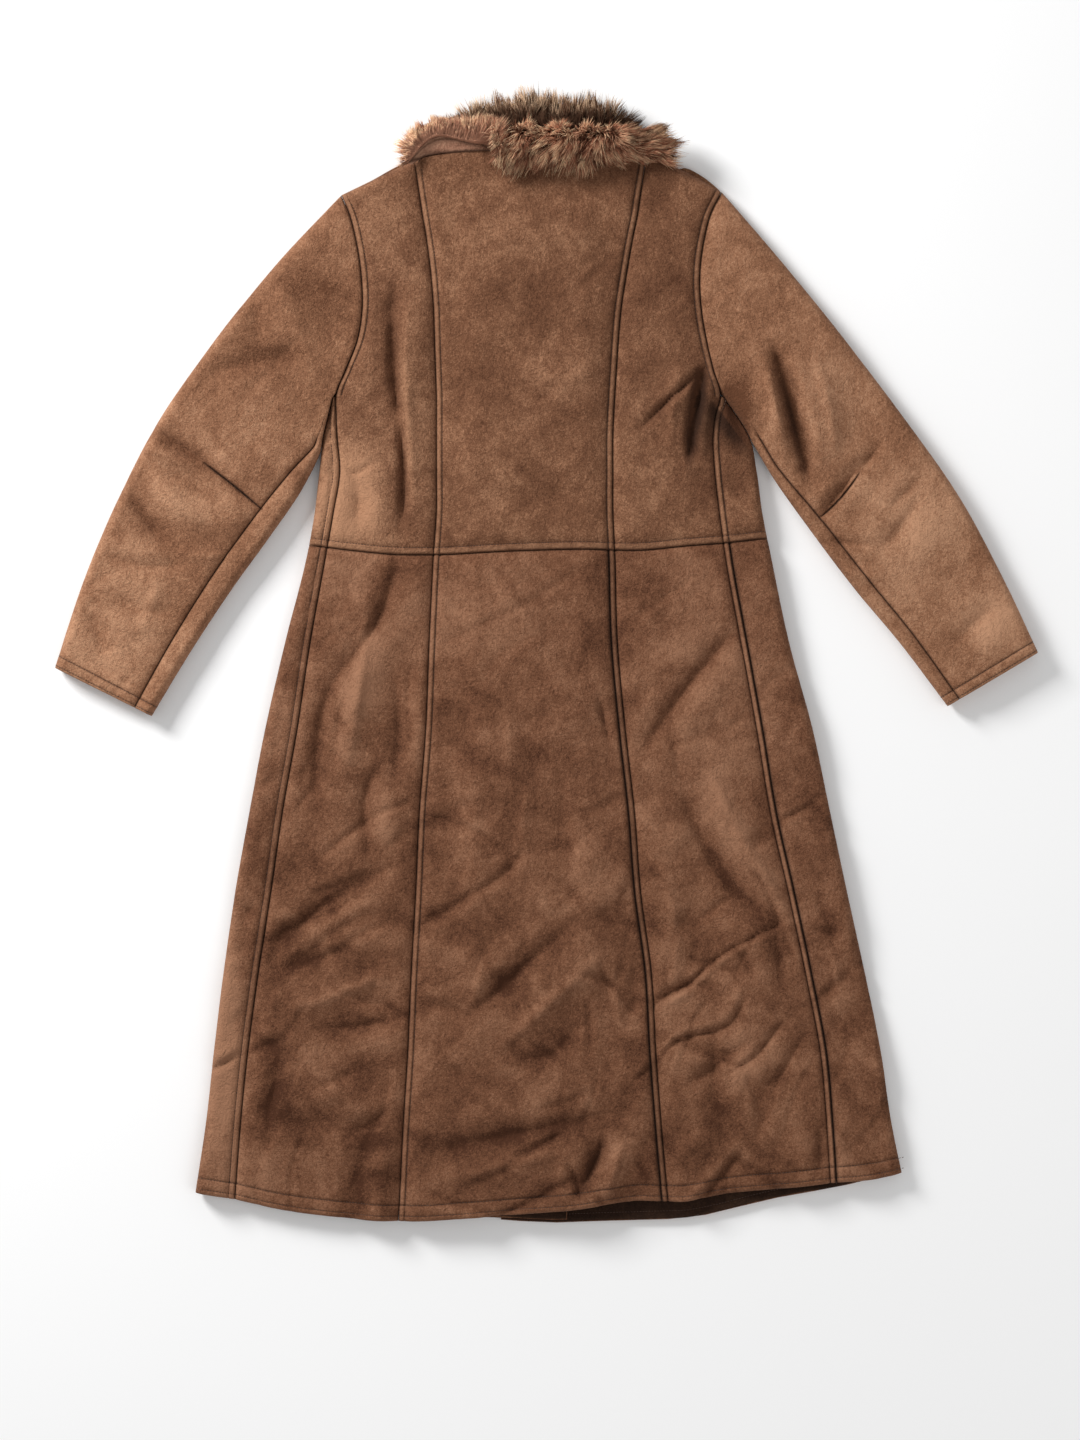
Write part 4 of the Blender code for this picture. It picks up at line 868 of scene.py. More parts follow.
@dataclass
class Wall:
    """A closed wall of suede: a fine outer face, a coarse inner face and a rim round them.

    Where active has as many columns as the grid, the last column joins the first one.
    """

    name: str
    outer: Points
    inner: Points
    marks: Marks
    active: Optional[Points] = None
    keep_rows: tuple[int, ...] = ()
    keep_columns: tuple[int, ...] = ()

    def lines(self, count: int, kept: Sequence[int], closed: bool) -> list[int]:
        """Return the rows or columns that the coarse inner face uses."""
        found = set(range(0, count, STEPS.coarse)) | set(kept)
        if not closed:
            found.add(count - 1)
        return sorted(found)

    def faces(self) -> tuple[list[list[int]], list[int], list[int]]:
        """Return the faces, and the rows and columns of the inner face."""
        rows, columns = self.outer.shape[:2]
        active = np.ones((rows - 1, columns - 1), dtype=bool) if self.active is None else self.active
        closed = active.shape[1] == columns
        down = self.lines(rows, self.keep_rows, False)
        over = self.lines(columns, self.keep_columns, closed)
        row, place = np.nonzero(active)
        beside = (place + 1) % columns
        faces = np.stack([row * columns + place, row * columns + beside, (row + 1) * columns + beside,
                          (row + 1) * columns + place], axis=1).tolist()
        steps_down = len(down) - 1
        steps_over = len(over) - (0 if closed else 1)
        shown = np.array([[active[down[i], over[j]] for j in range(steps_over)] for i in range(steps_down)])
        start = rows * columns

        def inner(i: int, j: int) -> int:
            return start + i * len(over) + j % len(over)

        def across(i: int, j: int) -> list[int]:
            stop = over[j + 1] if j + 1 < len(over) else columns
            return [down[i] * columns + step % columns for step in range(over[j], stop + 1)]

        def up(i: int, j: int) -> list[int]:
            return [step * columns + over[j % len(over)] for step in range(down[i], down[i + 1] + 1)]

        def open_side(i: int, j: int) -> bool:
            if not 0 <= i < steps_down:
                return True
            if closed:
                return not shown[i, j % steps_over]
            return not 0 <= j < steps_over or not shown[i, j]

        for i, j in zip(*np.nonzero(shown)):
            ring = [(i, j), (i, j + 1), (i + 1, j + 1), (i + 1, j)]
            faces.append([inner(*corner) for corner in reversed(ring)])
            sides = (
                (open_side(i - 1, j), across(i, j), ring[0], ring[1]),
                (open_side(i, j + 1), up(i, j + 1), ring[1], ring[2]),
                (open_side(i + 1, j), across(i + 1, j)[::-1], ring[2], ring[3]),
                (open_side(i, j - 1), up(i, j)[::-1], ring[3], ring[0]),
            )
            for is_open, path, begin, end in sides:
                if is_open:
                    faces.append(path[::-1] + [inner(*begin), inner(*end)])
        return faces, down, over

    def cut(self) -> tuple[tuple[float, float], float]:
        """Return the outer face's flat width and length in metres, and its flat area."""
        outer = self.outer * MM
        active = np.ones((outer.shape[0] - 1, outer.shape[1] - 1), dtype=bool) if self.active is None else self.active
        if active.shape[1] == outer.shape[1]:
            outer = np.concatenate([outer, outer[:, :1]], axis=1)
        over = np.linalg.norm(np.diff(outer, axis=1), axis=2)
        up = np.linalg.norm(np.diff(outer, axis=0), axis=2)
        wide = float((0.5 * (over[1:] + over[:-1]) * active).sum(axis=1).max())
        long = float((0.5 * (up[:, 1:] + up[:, :-1]) * active).sum(axis=0).max())
        first = outer[1:, 1:] - outer[:-1, :-1]
        second = outer[1:, :-1] - outer[:-1, 1:]
        area = float((0.5 * np.linalg.norm(np.cross(first, second), axis=2) * active).sum())
        return (wide, long), min(area, wide * long)

    def build(self) -> bpy.types.Object:
        """Make the wall's object, with its marks as attributes."""
        faces, down, over = self.faces()
        points = np.concatenate([self.outer.reshape(-1, 3), self.inner[np.ix_(down, over)].reshape(-1, 3)]) * MM
        used = np.unique(np.concatenate([np.array(face) for face in faces]))
        place = np.full(len(points), -1)
        place[used] = np.arange(len(used))
        marks = {}
        for name, values in self.marks.items():
            values = np.broadcast_to(values, self.outer.shape[:2] + values.shape[2:])
            plain = np.zeros((len(points) - values.shape[0] * values.shape[1],) + values.shape[2:])
            marks[name] = np.concatenate([values.reshape((-1,) + values.shape[2:]), plain])[used]
        return mesh_piece(self.name, points[used], [[int(place[corner]) for corner in face] for face in faces], marks)


def linked(name: str, data: bpy.types.ID) -> bpy.types.Object:
    """Make an object from its data and link it to the scene."""
    item = bpy.data.objects.new(name, data)
    bpy.context.scene.collection.objects.link(item)
    return item


def mesh_piece(name: str, points: Points, faces: list[list[int]], marks: Marks,
               sharp: float = 50.0) -> bpy.types.Object:
    """Make a closed mesh object with its faces outwards and its marks as point attributes.

    Args:
        name: the piece's name.
        points: its points in metres.
        faces: its faces, all turned the same way.
        marks: numbers or vectors for each point.
        sharp: angle in degrees past which an edge is sharp.

    Returns:
        The new object.
    """
    mesh = bpy.data.meshes.new(name)
    mesh.from_pydata(points.tolist(), [], faces)
    for mark, values in marks.items():
        vector = values.ndim > 1
        layer = mesh.attributes.new(mark, "FLOAT_VECTOR" if vector else "FLOAT", "POINT")
        layer.data.foreach_set("vector" if vector else "value", values.astype(np.float32).ravel())
    shape = bmesh.new()
    shape.from_mesh(mesh)
    if shape.calc_volume(signed=True) < 0.0:
        bmesh.ops.reverse_faces(shape, faces=shape.faces)
    shape.to_mesh(mesh)
    shape.free()
    mesh.polygons.foreach_set("use_smooth", np.ones(len(mesh.polygons), dtype=bool))
    mesh.set_sharp_from_angle(angle=math.radians(sharp))
    return linked(name, mesh)


class Tree:
    """Adds nodes to a tree and links them."""

    def __init__(self, tree: bpy.types.NodeTree) -> None:
        """Keep the tree."""
        self.tree = tree

    def add(self, kind: str, inputs: Optional[dict] = None, **settings: object) -> bpy.types.Node:
        """Add one node.

        Args:
            kind: the node's type.
            inputs: values or sockets for its inputs, by name or place.
            settings: its other settings.

        Returns:
            The new node.
        """
        node = self.tree.nodes.new(kind)
        for key, value in settings.items():
            setattr(node, key, value)
        for key, value in (inputs or {}).items():
            if isinstance(value, bpy.types.NodeSocket):
                self.tree.links.new(value, node.inputs[key])
            else:
                node.inputs[key].default_value = value
        return node

    def link(self, output: bpy.types.NodeSocket, given: bpy.types.NodeSocket) -> None:
        """Link an output to an input."""
        self.tree.links.new(output, given)

    def mark(self, name: str) -> bpy.types.NodeSocket:
        """Return one of the mesh's marks."""
        return self.add("ShaderNodeAttribute", attribute_name=name).outputs["Fac"]

    def place(self) -> bpy.types.NodeSocket:
        """Return the place in the object's own space."""
        return self.add("ShaderNodeTexCoord").outputs["Object"]

    def sum(self, operation: str, *values: object, clamp: bool = False) -> bpy.types.NodeSocket:
        """Work out one number from one to three others."""
        kind = "ShaderNodeMath"
        node = self.add(kind, dict(enumerate(values)), operation=operation, use_clamp=clamp)
        return node.outputs[0]

    def vector(self, operation: str, *values: object, scale: float = 1.0) -> bpy.types.NodeSocket:
        """Work out one vector from one or two others."""
        inputs = dict(enumerate(values))
        if operation == "SCALE":
            inputs["Scale"] = scale
        return self.add("ShaderNodeVectorMath", inputs, operation=operation).outputs[0]

    def mix(self, part: object, first: object, second: object, blend: str = "MIX") -> bpy.types.NodeSocket:
        """Mix two colours."""
        node = self.add("ShaderNodeMix", {0: part, 6: first, 7: second}, data_type="RGBA", blend_type=blend,
                        clamp_factor=True)
        return node.outputs[2]

    def noise(self, place: object, scale: object, detail: float = 2.0, rough: float = 0.5,
              distort: float = 0.0) -> bpy.types.NodeSocket:
        """Return a noise from 0 to 1."""
        node = self.add("ShaderNodeTexNoise", {"Vector": place, "Scale": scale, "Detail": detail, "Roughness": rough,
                                               "Distortion": distort})
        return node.outputs["Fac"]


def node_group(name: str, inputs: Sequence[tuple], outputs: Sequence[tuple],
               kind: str = "ShaderNodeTree") -> tuple[bpy.types.NodeTree, Tree, bpy.types.Node, bpy.types.Node]:
    """Start a node group with named sockets.

    Args:
        name: the group's name.
        inputs: name, socket type and default of each input.
        outputs: name and socket type of each output.
        kind: the type of its tree.

    Returns:
        The group, its tree helper, and its input and output nodes.
    """
    group = bpy.data.node_groups.new(name, kind)
    for label, socket, value in inputs:
        made = group.interface.new_socket(label, in_out="INPUT", socket_type=socket)
        if value is not None:
            made.default_value = value
    for label, socket in outputs:
        group.interface.new_socket(label, in_out="OUTPUT", socket_type=socket)
    tree = Tree(group)
    return group, tree, tree.add("NodeGroupInput"), tree.add("NodeGroupOutput")


FLOAT = "NodeSocketFloat"
COLOUR = "NodeSocketColor"
VECTOR = "NodeSocketVector"
GEOMETRY = "NodeSocketGeometry"


def suede_group() -> bpy.types.NodeTree:
    """Make the group that colours and roughens all the suede."""
    found = bpy.data.node_groups.get("suede nap")
    if found:
        return found
    black = (0.0, 0.0, 0.0, 1.0)
    group, tree, given, result = node_group(
        "suede nap",
        (("Place", VECTOR, None), ("Tone", FLOAT, 0.0), ("Line", FLOAT, 0.0), ("Worn", FLOAT, 0.0),
         ("Base", COLOUR, black), ("Light", COLOUR, black), ("Dark", COLOUR, black), ("Sewn", COLOUR, black),
         ("Cloudy", FLOAT, 0.5), ("Cloud Scale", FLOAT, 14.0)),
        (("Color", COLOUR), ("Height", FLOAT), ("Roughness", FLOAT)))
    place = given.outputs["Place"]
    stretched = tree.add("ShaderNodeMapping", {"Vector": place, "Scale": (1.0, 0.8, 1.0),
                                               "Rotation": (0.0, 0.0, 0.5)}).outputs[0]
    clouds = tree.noise(place, given.outputs["Cloud Scale"], 4.0, 0.6, 0.8)
    blotches = tree.noise(stretched, 40.0, 4.0, 0.62, 0.9)
    patches = tree.noise(stretched, 110.0, 4.0, 0.62, 0.6)
    flecks = tree.noise(place, 330.0, 3.0, 0.65)
    grain = tree.noise(place, 750.0, 2.0, 0.6)
    wrinkles = tree.noise(stretched, 150.0, 5.0, 0.62, 1.2)
    tone = given.outputs["Tone"]
    for layer, gain in ((blotches, 1.5), (patches, 1.2), (flecks, 1.9), (grain, 2.6)):
        tone = tree.sum("ADD", tone, tree.sum("MULTIPLY_ADD", layer, gain, -0.5 * gain))
    clouded = tree.sum("MULTIPLY", tree.sum("MULTIPLY_ADD", clouds, 4.4, -2.2), given.outputs["Cloudy"])
    tone = tree.sum("ADD", tone, clouded)
    # The tone's light and dark carry the suede's own mottling and spots, and painted light and shade from folds and
    # hollows.
    light = tree.sum("MULTIPLY", tone, 0.8, clamp=True)
    dark = tree.sum("MULTIPLY", tone, -0.9, clamp=True)
    colour = tree.mix(light, given.outputs["Base"], given.outputs["Light"])
    colour = tree.mix(dark, colour, given.outputs["Dark"])
    rubbed = tree.sum("MULTIPLY", given.outputs["Worn"], tree.sum("MULTIPLY_ADD", patches, 0.9, -0.1), clamp=True)
    colour = tree.mix(rubbed, colour, given.outputs["Light"])
    # The dark lines take the dark line colour: seams and stitches, and painted shadows of hollows and grooves.
    sewn = tree.sum("MULTIPLY", given.outputs["Line"], 0.92, clamp=True)
    colour = tree.mix(sewn, colour, given.outputs["Sewn"])
    height = tree.sum("ADD", tree.sum("MULTIPLY", grain, 0.4),
                      tree.sum("ADD", tree.sum("MULTIPLY", flecks, 0.6), tree.sum("MULTIPLY", wrinkles, 1.3)))
    tree.link(colour, result.inputs["Color"])
    tree.link(height, result.inputs["Height"])
    tree.link(tree.sum("MULTIPLY_ADD", patches, 0.14, 0.78), result.inputs["Roughness"])
    return group


def new_material(name: str) -> tuple[bpy.types.Material, Tree, bpy.types.Node]:
    """Start a material, and return it with its tree helper and its shader."""
    material = bpy.data.materials.new(name)
    material.use_nodes = True
    return material, Tree(material.node_tree), material.node_tree.nodes["Principled BSDF"]


@dataclass(frozen=True)
class Suede:
    """Finish of one kind of suede: its colours and how cloudy it is."""

    slot: str
    base: tuple[float, float, float]
    light: tuple[float, float, float]
    dark: tuple[float, float, float]
    # Colour of the dark lines: seams and stitches, and painted shadows in hollows and grooves
    sewn: tuple[float, float, float] = (0.026, 0.011, 0.006)
    cloudy: float = 0.5
    cloud_scale: float = 14.0
    bump: float = 0.0019
    sheen: float = 0.03

    def material(self) -> bpy.types.Material:
        """Return the finish's material, made once."""
        found = bpy.data.materials.get(self.slot + "_look")
        if found:
            return found
        material, tree, shader = new_material(self.slot + "_look")
        place = tree.place()
        values = {"Place": place, "Base": (*self.base, 1.0), "Light": (*self.light, 1.0),
                  "Dark": (*self.dark, 1.0), "Sewn": (*self.sewn, 1.0), "Cloudy": self.cloudy,
                  "Cloud Scale": self.cloud_scale}
        for mark in ("tone", "line", "worn"):
            values[mark.capitalize()] = tree.mark(mark)
        nap = tree.add("ShaderNodeGroup", values, node_tree=suede_group())
        bump = tree.add("ShaderNodeBump", {"Height": nap.outputs["Height"], "Distance": self.bump, "Strength": 1.0})
        tree.link(nap.outputs["Color"], shader.inputs["Base Color"])
        tree.link(nap.outputs["Roughness"], shader.inputs["Roughness"])
        tree.link(bump.outputs["Normal"], shader.inputs["Normal"])
        shader.inputs["Specular IOR Level"].default_value = 0.1
        shader.inputs["Sheen Weight"].default_value = self.sheen
        shader.inputs["Sheen Roughness"].default_value = 0.5
        shader.inputs["Sheen Tint"].default_value = (0.9, 0.72, 0.6, 1.0)
        return material


@dataclass(frozen=True)
class FurFinish:
    """Finish of fur: colours from root to tip, and how much its locks differ."""

    slot: str
    # Colour at the roots: the wool's own darker base, with painted shade deep in the pile
    root: tuple[float, float, float]
    middle: tuple[float, float, float]
    tip: tuple[float, float, float]
    dark: tuple[float, float, float]
    dark_share: float
    root_share: float = 0.0
    lobe: tuple[float, float, float] = (0.530, 0.275, 0.180)

    def material(self) -> bpy.types.Material:
        """Return the finish's material, made once."""
        found = bpy.data.materials.get(self.slot + "_look")
        if found:
            return found
        material, tree, shader = new_material(self.slot + "_look")
        along = tree.mark("along")
        tint = tree.mark("tint")
        place = tree.place()
        locks = tree.noise(place, 95.0, 3.0, 0.65, 0.6)
        # The shade mark: above zero it is painted shade, which darkens the hairs and dims their pale tips; below zero
        # it is the bare lobe's own paler colour.
        shade = tree.mark("shade")
        bare = tree.sum("MULTIPLY", shade, -0.85, clamp=True)
        body = tree.sum("MULTIPLY_ADD", along, 2.2, -2.2 * self.root_share, clamp=True)
        body = tree.sum("MAXIMUM", body, bare)
        colour = tree.mix(body, (*self.root, 1.0), (*self.middle, 1.0))
        colour = tree.mix(tree.sum("MULTIPLY", bare, 1.2, clamp=True), colour, (*self.lobe, 1.0))
        tipped = tree.sum("MULTIPLY_ADD", along, 2.0, -0.75, clamp=True)
        tipped = tree.sum("MULTIPLY", tipped, tree.sum("MULTIPLY_ADD", tint, 3.0, -1.3, clamp=True))
        tipped = tree.sum("MULTIPLY", tipped, tree.sum("MULTIPLY_ADD", shade, -0.85, 1.0, clamp=True))
        colour = tree.mix(tipped, colour, (*self.tip, 1.0))
        # Hairs with a low tint take the dark colour as their own; the bed has no tint outside the bare lobe, so it is
        # painted the dark colour as shade down in the pile.
        deep = tree.sum("MULTIPLY_ADD", tint, -3.0, 1.15, clamp=True)
        deep = tree.sum("MULTIPLY", deep, tree.sum("MULTIPLY_ADD", bare, -0.6, 1.0))
        deep = tree.sum("MAXIMUM", deep, tree.sum("MULTIPLY", shade, 0.75))
        colour = tree.mix(deep, colour, (*self.dark, 1.0))
        gloom = tree.sum("ADD", tree.sum("MULTIPLY_ADD", locks, 6.0, -3.1), self.dark_share)
        gloom = tree.sum("MULTIPLY", tree.sum("MULTIPLY", gloom, 1.0, clamp=True),
                         tree.sum("MULTIPLY_ADD", bare, -0.7, 0.8))
        colour = tree.mix(gloom, colour, (*self.dark, 1.0))
        tree.link(colour, shader.inputs["Base Color"])
        tree.link(tree.sum("MULTIPLY_ADD", tint, 0.16, 0.5), shader.inputs["Roughness"])
        shader.inputs["Specular IOR Level"].default_value = 0.03
        return material


@dataclass(frozen=True)
class Thread:
    """Finish and size of the sewing thread."""

    pitch: float = 3.3
    length: float = 2.3
    full_length: float = 1.6
    radius: float = 0.38
    end_radius: float = 0.2
    colour: tuple[float, float, float] = (0.036, 0.016, 0.009)

    def pattern(self) -> bpy.types.Object:
        """Return one thread, which isn't linked to the scene."""
        half, full = 0.5 * self.length, 0.5 * self.full_length
        rings = ((-half, self.end_radius, 0.0), (-full, self.radius, 0.3), (full, self.radius, 0.7),
                 (half, self.end_radius, 1.0))
        return ring_mesh("thread", [(height * MM, radius * MM, 0.0, share) for height, radius, share in rings], 4)

    def material(self) -> bpy.types.Material:
        """Return the thread's material, made once."""
        found = bpy.data.materials.get("thread_look")
        if found:
            return found
        material, tree, shader = new_material("thread_look")
        place = tree.place()
        uneven = tree.noise(place, 400.0, 2.0)
        lighter = tuple(2.2 * channel for channel in self.colour)
        tree.link(tree.mix(uneven, (*self.colour, 1.0), (*lighter, 1.0)), shader.inputs["Base Color"])
        tree.link(tree.sum("MULTIPLY_ADD", uneven, 0.2, 0.5), shader.inputs["Roughness"])
        return material


SUEDE_UPPER = Suede("suede_upper", (0.183, 0.081, 0.042), (0.390, 0.200, 0.112), (0.085, 0.033, 0.016))
SUEDE_SKIRT = Suede("suede_skirt", (0.170, 0.072, 0.037), (0.310, 0.152, 0.086), (0.068, 0.025, 0.012),
                    cloudy=0.75)
SUEDE_SLEEVE = Suede("suede_sleeve", (0.262, 0.121, 0.064), (0.470, 0.250, 0.145), (0.115, 0.046, 0.022))
# The facing's own dark suede, darkened further as painted shade under the back's hem
SHADED_FACING_SUEDE = Suede("suede_facing", (0.026, 0.012, 0.007), (0.050, 0.025, 0.014), (0.011, 0.005, 0.003))
SUEDE_UNDERCOLLAR = Suede("suede_undercollar", (0.340, 0.170, 0.108), (0.500, 0.280, 0.180), (0.17, 0.075, 0.045))
FUR_FALL = FurFinish("fur_fall", (0.130, 0.048, 0.026), (0.490, 0.208, 0.120), (1.00, 0.70, 0.43),
                     (0.048, 0.017, 0.009), 0.0)
FUR_INNER = FurFinish("fur_inner", (0.014, 0.007, 0.005), (0.240, 0.115, 0.064), (0.95, 0.68, 0.45),
                      (0.024, 0.011, 0.007), 0.0, root_share=0.3)
THREAD = Thread()


@dataclass(frozen=True)
class Hem:
    """A turned and stitched edge: its rounding and its two rows of stitches."""

    round_off: float = 3.0
    low_stitch: float = 6.0
    high_stitch: float = 18.0

    def height(self, away: Points, x: Points, y: Points) -> Points:
        """Return the relief at each distance from the edge."""
        turned = np.clip(self.round_off - away, 0.0, self.round_off)
        drop = self.round_off - np.sqrt(np.maximum(self.round_off ** 2 - turned ** 2, 0.0))
        welt = smooth((away - 1.0) / 3.0) * smooth((self.high_stitch - away) / 3.0)
        pucker = Clouds(5)(x, y, 5.5, 14.0) * welt
        lines = 0.8 * bell(away - self.low_stitch, 0.9) + 1.3 * bell(away - self.high_stitch, 1.2)
        return 0.7 * welt + 0.28 * pucker - lines - drop

    def mark(self, marks: Marks, away: Points) -> Marks:
        """Add the hem's stitched lines and worn edge to the marks."""
        line = np.maximum(0.15 * bell(away - self.low_stitch, 0.9), 0.45 * bell(away - self.high_stitch, 1.0))
        worn = 0.6 * smooth((4.0 - away) / 3.0)
        return {"tone": marks["tone"], "line": np.maximum(marks["line"], line),
                "worn": np.maximum(marks["worn"], worn)}


HEM = Hem()
CUFF = Hem(round_off=2.6, low_stitch=3.2, high_stitch=13.6)


def meet(across: Callable[[Points], Points], edge: Curve, start: Points) -> Points:
    """Find where each column meets an edge.

    Args:
        across: gives each column's x at its height.
        edge: the edge to meet.
        start: heights to start from.

    Returns:
        Heights of the edge, column by column.
    """
    height = start
    for _ in range(8):
        height = edge(across(height))
    return height


def shoulder_share(x: Points) -> Points:
    """Return 1 where the top edge is a rolled shoulder, 0 where it is the open neck."""
    return np.maximum(smooth((-138.0 - x) / 12.0), smooth((x - 133.0) / 12.0))


SHOULDER_ROLL = 11.0
SHOULDER_MEETS = 8.3


@dataclass(frozen=True)
class BackPanel:
    """One panel of the back, between two seams: of the skirt, or from waist to shoulder."""

    name: str
    left: str
    right: str
    upper: bool

    def build(self, form: BodyForm) -> Wall:
        """Lay out the panel."""
        widest = 290.0 if "middle" in self.name else 195.0
        if self.upper:
            widest = 245.0 if "middle" in self.name else 122.0
        spacing = Spacing(widest, STEPS.seam, STEPS.seam, STEPS.middle)

        def across(height: Points) -> Points:
            low = SEAMS[self.left](height) + form.half_gap
            return low + spacing(SEAMS[self.right](height) - form.half_gap - low)

        count = len(spacing.fixed)
        waist = meet(across, WAIST, np.full(count, 120.0))
        if self.upper:
            return self.bodice(form, across, waist + form.half_gap)
        hem = meet(across, BACK_HEM, np.full(count, -600.0))
        length = waist - form.half_gap - hem
        away = Spacing(750.0, STEPS.hem, STEPS.waist[:6], STEPS.middle).rows(length)
        y = hem + away
        x = across(y)
        top = form.top(x, y) + HEM.height(away, x, y)
        return Wall(self.name, np.stack([x, y, top], axis=2), np.stack([x, y, form.under(x, y)], axis=2),
                    HEM.mark(form.marks(x, y), away))

    def bodice(self, form: BodyForm, across: Callable[[Points], Points], low: Points) -> Wall:
        """Lay out a panel from waist to shoulder, rolled at the shoulder.

        Args:
            form: the body's form.
            across: gives each column's x at its height.
            low: heights of the waist seam, column by column.

        Returns:
            The panel's wall.
        """
        high = meet(across, TOP_EDGE, np.full(len(low), 520.0))
        flat = low + Spacing(450.0, STEPS.waist, (0.0,), STEPS.middle).rows(high - SHOULDER_ROLL - low)
        turn = np.radians(np.linspace(90.0, 0.0, STEPS.roll // 2 + 1)[1:, None])
        y = np.vstack([flat, high - SHOULDER_ROLL * (1.0 - np.cos(turn))])
        angle = np.vstack([np.full((len(flat), 1), math.pi / 2.0), turn])
        x = across(y)
        top = form.top(x, y)
        under = form.under(x, y)
        share = shoulder_share(x)
        meets = SHOULDER_MEETS + form.half_gap
        rolled = meets + (top - meets) * np.sin(angle)
        rolled_under = meets + (under - meets) * np.sin(angle)
        drop = SHOULDER_ROLL - (SHOULDER_ROLL - form.back_wall) * np.cos(angle)
        in_roll = angle < math.pi / 2.0 - 1e-6
        inner_y = np.where(in_roll, share * (high - drop) + (1.0 - share) * y, y)
        outer = np.stack([x, y, share * rolled + (1.0 - share) * top], axis=2)
        inner = np.stack([across(inner_y), inner_y, share * rolled_under + (1.0 - share) * under], axis=2)
        return Wall(self.name, outer, inner, form.marks(x, y), keep_rows=(len(flat) - 1,))


